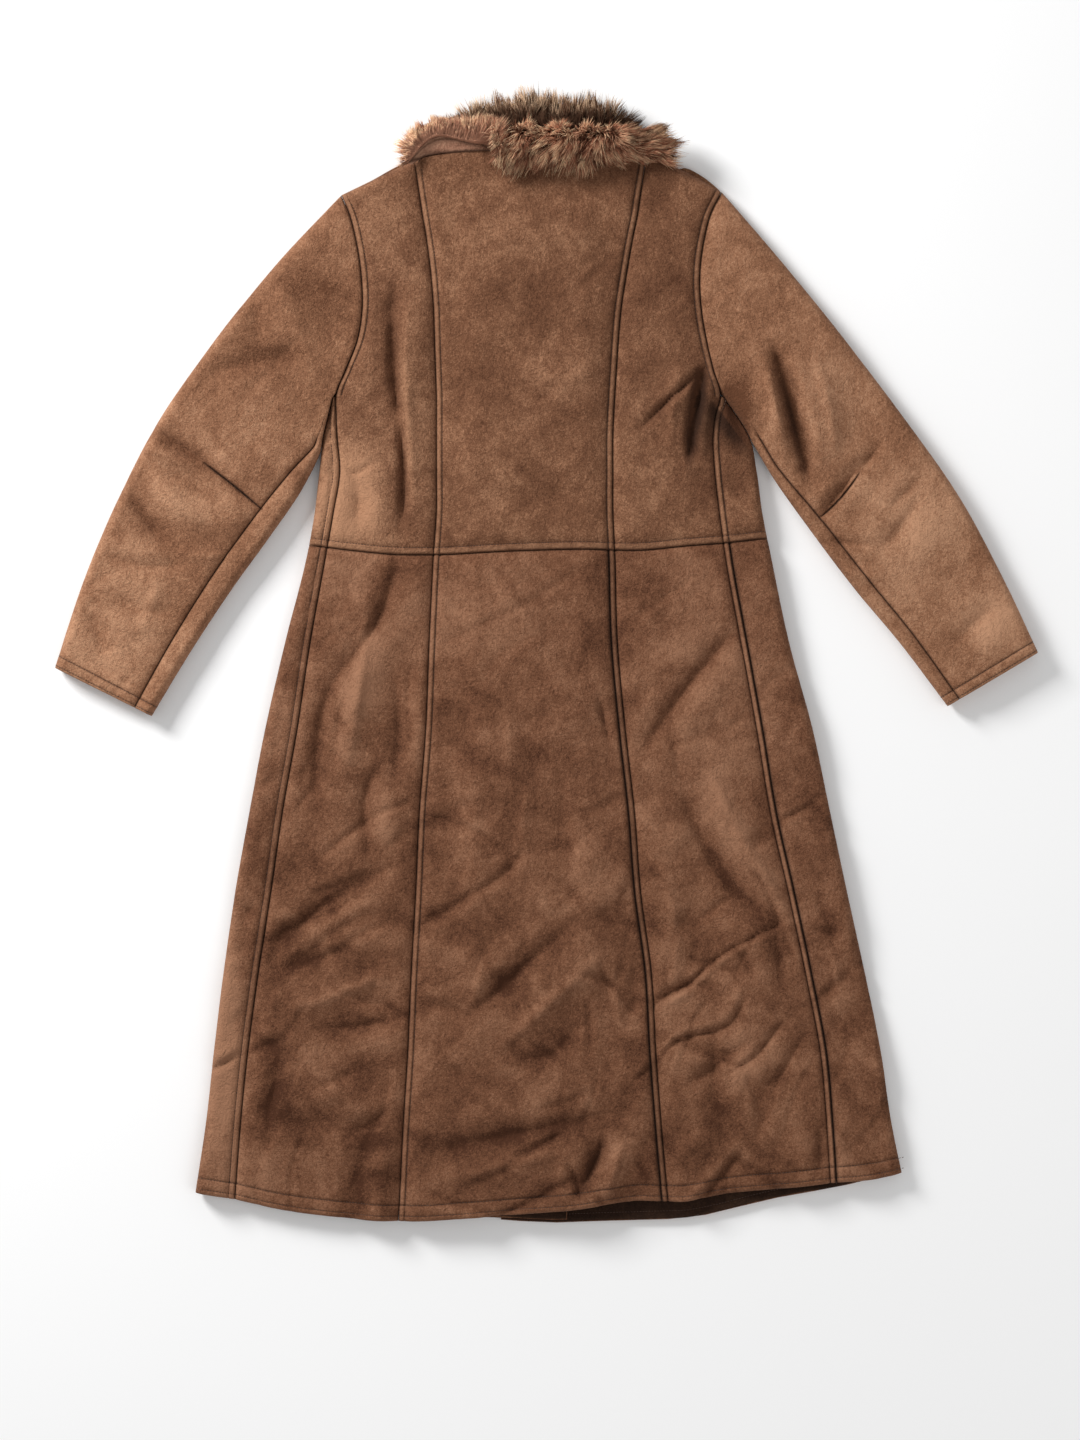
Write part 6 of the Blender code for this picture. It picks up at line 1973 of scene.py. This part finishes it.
@dataclass(frozen=True)
class Collar:
    """The fur of the collar: its fall over the back, and the inside of the neck behind it."""

    form: BodyForm
    inner_lower: float = 569.0
    inner_depth: float = 21.0
    inner_edge: float = 7.0
    drop: float = 8.0
    left_inset: float = 8.0
    right_inset: float = 21.0
    lobe_inset: float = 8.0
    lobe_flat: float = 0.55
    left_lobe: float = -62.0
    left_lobe_ease: float = 30.0
    right_lobe: float = 72.0
    right_lobe_ease: float = 20.0
    top_inset: float = 15.0

    def parts(self) -> list[tuple[Wall, Fur]]:
        """Return each fur's bed and the fur."""
        fall = Fur("collar_fall", FALL_FLOW, FUR_FALL, 11000, 20.0, 0.4, 0.37, 3, 2, 598.0, -12.0,
                   rim_share=0.4, bare=0.7, bed_share=0.2)
        inner = Fur("collar_inner", INNER_FLOW, FUR_INNER, 13000, 20.0, 0.4, 0.34, 8, 1, 601.0, 10.0)
        return [(self.fall(fall), fall), (self.inner(inner), inner)]

    def fall(self, fur: Fur) -> Wall:
        """Lay out the bed of the fall."""
        stations = COLLAR_FALL.column("x")
        lower, upper, depth = (Curve(COLLAR_FALL, "x", name) for name in ("lower", "upper", "depth"))
        x = np.linspace(stations[0] + self.left_inset, stations[-1] - self.right_inset, 96)
        high = upper(x)
        low = lower(x)
        foot = np.minimum(Curve(FALL_INSET, "x", "inset")(x), 0.4 * (high - low))
        left_lobe = smooth((self.left_lobe - x) / self.left_lobe_ease)
        lobes = np.maximum(left_lobe, smooth((x - self.right_lobe) / self.right_lobe_ease))
        inset = np.minimum(fur.inset + self.lobe_inset * lobes, 0.36 * (high - low))
        across = np.linspace(0.0, 1.0, 20)[:, None]
        y = low + foot + (high - low - foot - inset) * across
        x = np.broadcast_to(x, y.shape)
        leaned = across ** np.clip(Curve(FALL_LEAN, "x", "lean")(x), 0.4, 2.6)
        full = np.sqrt(np.clip(1.0 - (2.0 * leaned - 1.0) ** 2, 0.0, 1.0))
        full = full * (1.0 - self.lobe_flat * left_lobe)
        base = CollarBase()(x, y, self.form)
        top = base + 2.0 + np.maximum(depth(x) - self.drop - 2.0, 0.5) * full
        return fur.bed(x, y, top, base)

    def inner(self, fur: Fur) -> Wall:
        """Lay out the bed of the fur inside the neck."""
        stations = COLLAR_INNER.column("x")
        x = np.linspace(stations[0] + 4.0, stations[-1] - 4.0, 72)
        high = Curve(COLLAR_INNER, "x", "upper")(x) - self.top_inset
        across = np.linspace(0.0, 1.0, 16)[:, None]
        y = self.inner_lower + (high - self.inner_lower) * across
        x = np.broadcast_to(x, y.shape)
        ends = smooth((x - stations[0] + 8.0) / 30.0) * smooth((stations[-1] + 8.0 - x) / 30.0)
        fade = np.sqrt(np.clip(1.0 - np.clip(2.0 * across - 1.0, 0.0, 1.0) ** 2, 0.0, 1.0))
        top = self.inner_edge - 3.0 + (self.inner_depth - self.inner_edge - 3.0) * ends * fade
        return fur.bed(x, y, top, np.zeros_like(top))


def realised(host: bpy.types.Object, tree: bpy.types.NodeTree, values: dict[str, object]) -> bpy.types.Object:
    """Run a Geometry Nodes tree on a host and leave its result as a plain mesh.

    Args:
        host: object that gives the tree its geometry and the result its name.
        tree: the tree to run.
        values: the tree's inputs by name.

    Returns:
        The result's object, which takes the host's place.
    """
    modifier = host.modifiers.new(tree.name, "NODES")
    modifier.node_group = tree
    sockets = {item.name: item.identifier for item in tree.interface.items_tree if item.in_out == "INPUT"}
    for name, value in values.items():
        modifier[sockets[name]] = value
    bpy.context.view_layer.update()
    shown = host.evaluated_get(bpy.context.evaluated_depsgraph_get())
    mesh = bpy.data.meshes.new_from_object(shown, preserve_all_data_layers=True,
                                           depsgraph=bpy.context.evaluated_depsgraph_get())
    host.modifiers.remove(modifier)
    host.data = mesh
    mesh.name = host.name
    return host


def fur_tree() -> bpy.types.NodeTree:
    """Make the tree that grows hairs in locks on a bed."""
    found = bpy.data.node_groups.get("hairs in locks")
    if found:
        return found
    group, tree, given, result = node_group(
        "hairs in locks",
        (("Geometry", GEOMETRY, None), ("Strand", "NodeSocketObject", None), ("Density", FLOAT, 1e5),
         ("Length", FLOAT, 0.02), ("Spread", FLOAT, 0.3), ("Thickness", FLOAT, 0.0004), ("Seed", "NodeSocketInt", 1),
         ("Material", "NodeSocketMaterial", None), ("Lock Size", FLOAT, 0.006), ("Strand Size", FLOAT, 0.0026),
         ("Floor", FLOAT, 0.0012), ("Ceiling", FLOAT, 0.056)),
        (("Geometry", GEOMETRY),), "GeometryNodeTree")
    out = given.outputs
    grows = tree.add("GeometryNodeInputNamedAttribute", {"Name": "grow"}, data_type="FLOAT").outputs["Attribute"]
    spots = tree.add("GeometryNodeDistributePointsOnFaces",
                     {"Mesh": out["Geometry"], "Selection": tree.add("FunctionNodeCompare", {0: grows, 1: 0.3},
                                                                     data_type="FLOAT").outputs[0],
                      "Density": out["Density"], "Seed": out["Seed"]})
    place = tree.add("GeometryNodeInputPosition").outputs[0]
    flow = tree.add("GeometryNodeInputNamedAttribute", {"Name": "flow"}, data_type="FLOAT_VECTOR").outputs[0]
    scale = tree.sum("DIVIDE", 1.0, out["Lock Size"])
    locks = tree.add("ShaderNodeTexVoronoi", {"Vector": place, "Scale": scale, "Randomness": 1.0},
                     feature="F1")
    centre = locks.outputs["Position"]
    inward = tree.vector("SUBTRACT", centre, place)
    inward = tree.vector("SCALE", inward, scale=13.0)
    strands = tree.add("ShaderNodeTexVoronoi", {"Vector": place, "Randomness": 1.0,
                                                "Scale": tree.sum("DIVIDE", 1.0, out["Strand Size"])}, feature="F1")
    together = tree.vector("SCALE", tree.vector("SUBTRACT", strands.outputs["Position"], place), scale=42.0)
    inward = tree.vector("ADD", inward, together)
    turned = tree.vector("SUBTRACT", locks.outputs["Color"], (0.5, 0.5, 0.5))
    turned = tree.vector("MULTIPLY", turned, (0.22, 0.22, 0.16))
    wild = tree.add("FunctionNodeRandomValue", {0: (-0.1, -0.1, -0.06), 1: (0.1, 0.1, 0.12), "Seed": 7},
                    data_type="FLOAT_VECTOR").outputs[0]
    broad = tree.add("ShaderNodeTexNoise", {"Vector": place, "Scale": 38.0, "Detail": 1.0}).outputs["Color"]
    broad = tree.vector("MULTIPLY", tree.vector("SUBTRACT", broad, (0.5, 0.5, 0.5)), (0.7, 0.7, 0.3))
    aim = tree.vector("ADD", tree.vector("ADD", flow, inward),
                      tree.vector("ADD", turned, tree.vector("ADD", wild, broad)))
    rotation = tree.add("FunctionNodeAlignRotationToVector", {"Vector": aim}, axis="Z").outputs[0]
    roll = tree.add("FunctionNodeRandomValue", {2: -3.14159, 3: 3.14159, "Seed": 3}, data_type="FLOAT").outputs[1]
    roll = tree.add("ShaderNodeCombineXYZ", {"Z": roll}).outputs[0]
    rotation = tree.add("FunctionNodeRotateRotation", {"Rotation": rotation, "Rotate By": roll},
                        rotation_space="LOCAL").outputs[0]
    uneven = tree.add("FunctionNodeRandomValue", {2: -1.0, 3: 1.0, "Seed": 5}, data_type="FLOAT").outputs[1]
    in_lock = tree.add("ShaderNodeSeparateXYZ", {0: locks.outputs["Color"]}).outputs[2]
    in_lock = tree.sum("MULTIPLY_ADD", in_lock, 0.5, 0.75)
    long = tree.sum("MULTIPLY_ADD", uneven, out["Spread"], 1.0)
    long = tree.sum("MULTIPLY", tree.sum("MULTIPLY", long, in_lock), tree.sum("MULTIPLY", grows, out["Length"]))
    thick = tree.sum("MULTIPLY", tree.sum("MULTIPLY_ADD", uneven, 0.3, 1.0), out["Thickness"])
    size = tree.add("ShaderNodeCombineXYZ", {0: thick, 1: thick, 2: long}).outputs[0]
    strand = tree.add("GeometryNodeObjectInfo", {"Object": out["Strand"]}).outputs["Geometry"]
    hairs = tree.add("GeometryNodeInstanceOnPoints", {"Points": spots.outputs["Points"], "Instance": strand,
                                                      "Rotation": rotation, "Scale": size}).outputs[0]
    tint = tree.add("FunctionNodeRandomValue", {2: 0.0, 3: 1.0, "Seed": 9}, data_type="FLOAT").outputs[1]
    in_strand = tree.add("ShaderNodeSeparateXYZ", {0: strands.outputs["Color"]}).outputs[0]
    tint = tree.sum("MULTIPLY_ADD", in_strand, 0.85, tree.sum("MULTIPLY", tint, 0.15))
    tint = tree.sum("ADD", tint, tree.sum("MULTIPLY_ADD", in_lock, 0.2, -0.2))
    hairs = tree.add("GeometryNodeStoreNamedAttribute", {"Geometry": hairs, "Name": "tint", "Value": tint},
                     data_type="FLOAT", domain="INSTANCE").outputs[0]
    hairs = tree.add("GeometryNodeRealizeInstances", {"Geometry": hairs}).outputs[0]
    spot = tree.add("GeometryNodeInputPosition").outputs[0]
    along = tree.add("GeometryNodeInputNamedAttribute", {"Name": "along"}, data_type="FLOAT").outputs["Attribute"]
    bend = tree.sum("MULTIPLY", tree.sum("MULTIPLY", along, along), out["Length"])
    wave = tree.add("ShaderNodeTexNoise", {"Vector": spot, "Scale": 55.0, "Detail": 1.0}).outputs["Color"]
    wave = tree.vector("MULTIPLY_ADD", wave, (1.1, 1.1, 0.6), (-0.55, -0.55, -0.38))
    wave = tree.add("ShaderNodeVectorMath", {0: wave, "Scale": bend}, operation="SCALE").outputs[0]
    ends = tree.add("ShaderNodeSeparateXYZ", {0: tree.vector("ADD", spot, wave)}).outputs
    level = tree.add("ShaderNodeMath", {0: ends[2], 1: out["Floor"], 2: 0.004}, operation="SMOOTH_MAX").outputs[0]
    level = tree.add("ShaderNodeMath", {0: level, 1: out["Ceiling"], 2: 0.012}, operation="SMOOTH_MIN").outputs[0]
    kept = tree.add("ShaderNodeCombineXYZ", {0: ends[0], 1: ends[1], 2: level}).outputs[0]
    hairs = tree.add("GeometryNodeSetPosition", {"Geometry": hairs, "Position": kept}).outputs[0]
    hairs = tree.add("GeometryNodeSetMaterial", {"Geometry": hairs, "Material": out["Material"]}).outputs[0]
    tree.link(hairs, result.inputs["Geometry"])
    return group


def stitch_tree() -> bpy.types.NodeTree:
    """Make the tree that sews threads along lines."""
    found = bpy.data.node_groups.get("stitches along a line")
    if found:
        return found
    group, tree, given, result = node_group(
        "stitches along a line",
        (("Geometry", GEOMETRY, None), ("Thread", "NodeSocketObject", None), ("Pitch", FLOAT, 0.0033),
         ("Seed", "NodeSocketInt", 1), ("Material", "NodeSocketMaterial", None)),
        (("Geometry", GEOMETRY),), "GeometryNodeTree")
    out = given.outputs
    line = tree.add("GeometryNodeMeshToCurve", {"Mesh": out["Geometry"]}).outputs[0]
    places = tree.add("GeometryNodeCurveToPoints", {"Curve": line, "Length": out["Pitch"]}, mode="LENGTH")
    rotation = tree.add("FunctionNodeAlignRotationToVector", {"Vector": places.outputs["Tangent"]},
                        axis="Z").outputs[0]
    turn = tree.add("FunctionNodeRandomValue", {0: (-0.1, -0.1, -0.1), 1: (0.1, 0.1, 0.1), "Seed": out["Seed"]},
                    data_type="FLOAT_VECTOR").outputs[0]
    rotation = tree.add("FunctionNodeRotateRotation", {"Rotation": rotation, "Rotate By": turn},
                        rotation_space="LOCAL").outputs[0]
    size = tree.add("FunctionNodeRandomValue", {0: (0.85, 0.85, 0.85), 1: (1.1, 1.1, 1.08), "Seed": 4},
                    data_type="FLOAT_VECTOR").outputs[0]
    thread = tree.add("GeometryNodeObjectInfo", {"Object": out["Thread"]}).outputs["Geometry"]
    sewn = tree.add("GeometryNodeInstanceOnPoints", {"Points": places.outputs["Points"], "Instance": thread,
                                                     "Rotation": rotation, "Scale": size}).outputs[0]
    sewn = tree.add("GeometryNodeRealizeInstances", {"Geometry": sewn}).outputs[0]
    sewn = tree.add("GeometryNodeSetMaterial", {"Geometry": sewn, "Material": out["Material"]}).outputs[0]
    tree.link(sewn, result.inputs["Geometry"])
    return group


def ring_mesh(name: str, rings: Sequence[tuple[float, float, float, float]], sides: int) -> bpy.types.Object:
    """Make a closed slim form from rings along Z.

    Args:
        name: its name.
        rings: height, radius, offset along X and share along the whole, ring by ring.
        sides: points in each ring.

    Returns:
        A form that isn't linked to the scene.
    """
    shape = bmesh.new()
    along = shape.verts.layers.float.new("along")
    loops = []
    for height, radius, offset, share in rings:
        loop = []
        for side in range(sides if radius > 0.0 else 1):
            angle = 2.0 * math.pi * side / sides
            corner = shape.verts.new((offset + radius * math.cos(angle), radius * math.sin(angle), height))
            corner[along] = share
            loop.append(corner)
        loops.append(loop)
    for low, high in zip(loops, loops[1:]):
        for side in range(sides):
            after = (side + 1) % sides
            ring = [low[side % len(low)], low[after % len(low)], high[after % len(high)], high[side % len(high)]]
            shape.faces.new(list(dict.fromkeys(ring)))
    for loop in (loops[0], loops[-1]):
        if len(loop) > 1:
            shape.faces.new(loop)
    bmesh.ops.recalc_face_normals(shape, faces=shape.faces)
    mesh = bpy.data.meshes.new(name)
    shape.to_mesh(mesh)
    shape.free()
    mesh.polygons.foreach_set("use_smooth", np.ones(len(mesh.polygons), dtype=bool))
    return bpy.data.objects.new(name, mesh)


@dataclass(frozen=True)
class Sewing:
    """Rows of stitches on one panel."""

    thread: Thread

    def sew(self, name: str, lines: Sequence[Points], pattern: bpy.types.Object, seed: int) -> bpy.types.Object:
        """Sew threads along lines of points.

        Args:
            name: the piece's name.
            lines: points of each line in millimetres.
            pattern: one thread.
            seed: fixed seed of their unevenness.

        Returns:
            The stitches' object.
        """
        mesh = bpy.data.meshes.new(name)
        points = np.concatenate(lines) * MM
        starts = np.cumsum([0] + [len(line) for line in lines])
        edges = [(place, place + 1) for start, end in zip(starts, starts[1:]) for place in range(start, end - 1)]
        mesh.from_pydata(points.tolist(), edges, [])
        host = linked(name, mesh)
        values = {"Thread": pattern, "Pitch": self.thread.pitch * MM, "Seed": seed,
                  "Material": self.thread.material()}
        return realised(host, stitch_tree(), values)


@dataclass(frozen=True)
class BodyLines:
    """Where the body's stitched lines run."""

    form: BodyForm
    lift: float = 0.25
    step: float = 1.6

    def height(self, x: Points, y: Points, hem: bool) -> Points:
        """Return the height of the suede under a thread."""
        top = self.form.top(x, y) + self.lift
        return top + HEM.height(y - BACK_HEM(x), x, y) if hem else top

    def along_seam(self, seam: str, low: float, high: float) -> Points:
        """Return the stitched line beside a seam between two heights."""
        row = next(row for row in SEWN.records() if row["seam"] == seam)
        y = np.arange(low, high, self.step)
        facing = np.full(y.shape, float(row["stitched"]))
        if seam.endswith("side"):
            facing = np.where(y > self.form.armpit, -facing, facing)
        x = SEAMS[seam](y) + facing * row["stitch"]
        return np.stack([x, y, self.height(x, y, low < 0.0)], axis=1)

    def across(self, low: float, high: float, edge: Curve, away: float, hem: bool) -> Points:
        """Return a line that follows an edge at a distance above it, between two places across."""
        x = np.arange(low, high, self.step)
        y = edge(x) + away
        return np.stack([x, y, self.height(x, y, hem)], axis=1)

    def panel(self, name: str) -> list[Points]:
        """Return the stitched lines of one panel of the body."""
        part, side = name.split("_")[-2:]
        upper = part == "upper"
        at = 130.0 if upper else -610.0
        if name.startswith("front"):
            seam, edge = side + "_side", side + "_edge"
            ends = sorted((float(SEAMS[seam](at)), float(SEAMS[edge](at))))
            ends = [ends[0] + (7.0 if side == "left" else 0.3), ends[1] - (0.3 if side == "left" else 7.0)]
        else:
            ends = [float(SEAMS[seam](at)) for seam in PANEL_SEAMS[side]]
            ends = [ends[0] + 0.3, ends[1] - 0.3]
        lines = []
        waist = float(WAIST(0.5 * (ends[0] + ends[1])))
        if upper:
            lines.append(self.across(ends[0], ends[1], WAIST, self.form.waist_stitch, False))
            if name.startswith("front"):
                lines.append(self.along_seam(side + "_side", waist + 1.0, self.form.armpit - 3.0))
            elif side == "middle":
                lines += [self.along_seam(seam, waist + 1.0, 548.0) for seam in PANEL_SEAMS[side]]
            else:
                lines.append(self.along_seam(side + "_side", self.form.armpit + 3.0, 508.0))
            return lines
        lines += [self.across(ends[0], ends[1], BACK_HEM, away, True) for away in (HEM.low_stitch, HEM.high_stitch)]
        if name.startswith("front"):
            lines.append(self.along_seam(side + "_side", -585.0, waist - 1.0))
        elif side == "middle":
            lines += [self.along_seam(seam, -604.0, waist - 1.0) for seam in PANEL_SEAMS[side]]
        return lines


@dataclass(frozen=True)
class Studio:
    """Camera, floor and soft light."""

    camera_at: tuple[float, float, float] = (-0.00725, -0.06747, 4.02)
    reach: float = 4.0
    frame_height: float = 1.6056
    sensor: float = 36.0
    floor_size: float = 6.0
    floor_colour: tuple[float, float, float] = (0.95, 0.95, 0.95)
    world: float = 0.46

    def camera(self) -> None:
        """Place the camera straight above the coat."""
        data = bpy.data.cameras.new("camera")
        data.sensor_width = self.sensor
        data.lens = self.sensor * self.reach / self.frame_height
        item = bpy.data.objects.new("camera", data)
        item.location = self.camera_at
        bpy.context.scene.collection.objects.link(item)
        bpy.context.scene.camera = item

    def lamp(self, name: str, at: tuple[float, float, float], size: float, power: float) -> None:
        """Place one soft light that faces the coat."""
        data = bpy.data.lights.new(name, "AREA")
        data.size = size
        data.energy = power
        item = bpy.data.objects.new(name, data)
        item.location = at
        away = -np.array(at)
        item.rotation_euler = (math.atan2(math.hypot(away[0], away[1]), -away[2]), 0.0,
                               math.atan2(away[1], away[0]) - math.pi / 2.0)
        bpy.context.scene.collection.objects.link(item)

    def build(self) -> None:
        """Make the floor and the lights."""
        half = 0.5 * self.floor_size
        mesh = bpy.data.meshes.new("floor")
        mesh.from_pydata([(-half, -half, 0.0), (half, -half, 0.0), (half, half, 0.0), (-half, half, 0.0)], [],
                         [(0, 1, 2, 3)])
        floor = bpy.data.objects.new("floor", mesh)
        floor.location = (0.0, 0.0, -0.0006)
        bpy.context.scene.collection.objects.link(floor)
        material, tree, shader = new_material("floor")
        place = tree.place()
        dimmer = tuple(0.985 * channel for channel in self.floor_colour)
        faint = tree.mix(tree.noise(place, 1.5), (*self.floor_colour, 1.0), (*dimmer, 1.0))
        tree.link(faint, shader.inputs["Base Color"])
        shader.inputs["Roughness"].default_value = 0.9
        mesh.materials.append(material)
        floor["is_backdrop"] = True
        self.lamp("key", (-2.4, 2.0, 1.7), 1.1, 140.0)
        self.lamp("fill", (2.0, -1.2, 3.2), 2.6, 26.0)
        world = bpy.data.worlds.new("studio")
        world.use_nodes = True
        world.node_tree.nodes["Background"].inputs["Color"].default_value = (1.0, 1.0, 1.0, 1.0)
        world.node_tree.nodes["Background"].inputs["Strength"].default_value = self.world
        bpy.context.scene.world = world
        bpy.context.scene.view_settings.view_transform = "Standard"


@dataclass(frozen=True)
class Dresser:
    """Gives each piece its finish and its body, and measures the sheet that it was cut from."""

    def dress(self, piece: bpy.types.Object, finish: Suede | FurFinish, nodes: Sequence[str] = ()) -> None:
        """Give a piece its finish and let it ride.

        Args:
            piece: the piece.
            finish: its finish.
            nodes: CAD nodes that it stands for.
        """
        if not piece.data.materials:
            piece.data.materials.append(finish.material())
        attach(piece, "root")
        if nodes:
            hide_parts(*nodes)
        LOG.info("%s: %d faces", piece.name, len(piece.data.polygons))

    def declare(self, wall: Wall) -> None:
        """Measure the sheet that a piece was cut from; the measure isn't kept."""
        flat, area = wall.cut()


def plain(box: Sequence) -> list[list[float]]:
    """Return a box's corners as plain lists."""
    return [[float(value) for value in corner] for corner in box]


def main() -> None:
    """Build the coat's looks, piece by piece."""
    logging.basicConfig(level=logging.INFO, format="%(name)s %(message)s")
    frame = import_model()
    LOG.info("%d nodes in the frame", len(frame["nodes"]))
    cad_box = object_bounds()
    studio = Studio()
    studio.camera()
    form = BodyForm()
    dresser = Dresser()
    sewing = Sewing(THREAD)
    lines = BodyLines(form)
    thread = THREAD.pattern()
    strand = ring_mesh("strand", ((0.0, 1.0, 0.0, 0.0), (0.55, 0.85, 1.5, 0.55), (1.0, 0.0, 5.0, 1.0)), 3)

    def finish_panel(wall: Wall, suede: Suede, rows: list[Points], rests_on: Sequence[str]) -> None:
        """Build one suede panel with its stitches."""
        piece = wall.build()
        dresser.dress(piece, suede, [wall.name])
        if rows:
            stitches = sewing.sew("stitches_" + wall.name, rows, thread, len(wall.name))
            dresser.dress(stitches, SHADED_FACING_SUEDE)
        dresser.declare(wall)

    fronts = ("front_skirt_left", "front_skirt_right")
    for side in Side:
        for upper in (False, True):
            suede = SUEDE_UPPER if upper else SUEDE_SKIRT
            front = FrontPanel(side, upper)
            finish_panel(front.build(form), suede, lines.panel(front.name), ())
    for name, (left, right) in PANEL_SEAMS.items():
        for upper in (False, True):
            suede = SUEDE_UPPER if upper else SUEDE_SKIRT
            word = "back_upper_" if upper else "back_skirt_"
            panel = BackPanel(word + name, left, right, upper)
            under = ("front_upper_left", "front_upper_right") if upper else fronts
            finish_panel(panel.build(form), suede, lines.panel(word + name), under)
    for side, start, end in ((Side.RIGHT, -50.0, 352.0), (Side.LEFT, -52.0, 22.0)):
        facing = HemFacing(side, start, end)
        wall = facing.build(form)
        row = int(np.argmin(np.abs(wall.outer[:, 0, 1] - facing.stitch - wall.outer[0, 0, 1] + facing.inset)))
        finish_panel(wall, SHADED_FACING_SUEDE, [wall.outer[row] + (0.0, 0.0, 0.2)], ("front_skirt_" + side.word,))
    for side in Side:
        grid = SleeveGrid(SleeveForm(side), form)
        for wall in (grid.upper(), grid.lower()):
            finish_panel(wall, SUEDE_SLEEVE, grid.cuff_lines(wall), ())
    wall = UnderCollar().build(form)
    finish_panel(wall, SUEDE_UNDERCOLLAR, [], ("collar_inner",))

    for wall, fur in Collar(form).parts():
        bed = wall.build()
        dresser.dress(bed, fur.finish, [wall.name])
        hairs = [fur.grow(bed, strand, layer + 1) for layer in range(fur.layers)]
        for layer in hairs:
            dresser.dress(layer, fur.finish)
        dresser.declare(wall)
    for pattern in (thread, strand):
        bpy.data.objects.remove(pattern)
    studio.build()
    {"cad": plain(cad_box), "visual": plain(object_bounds())}


if __name__ == "__main__":
    main()
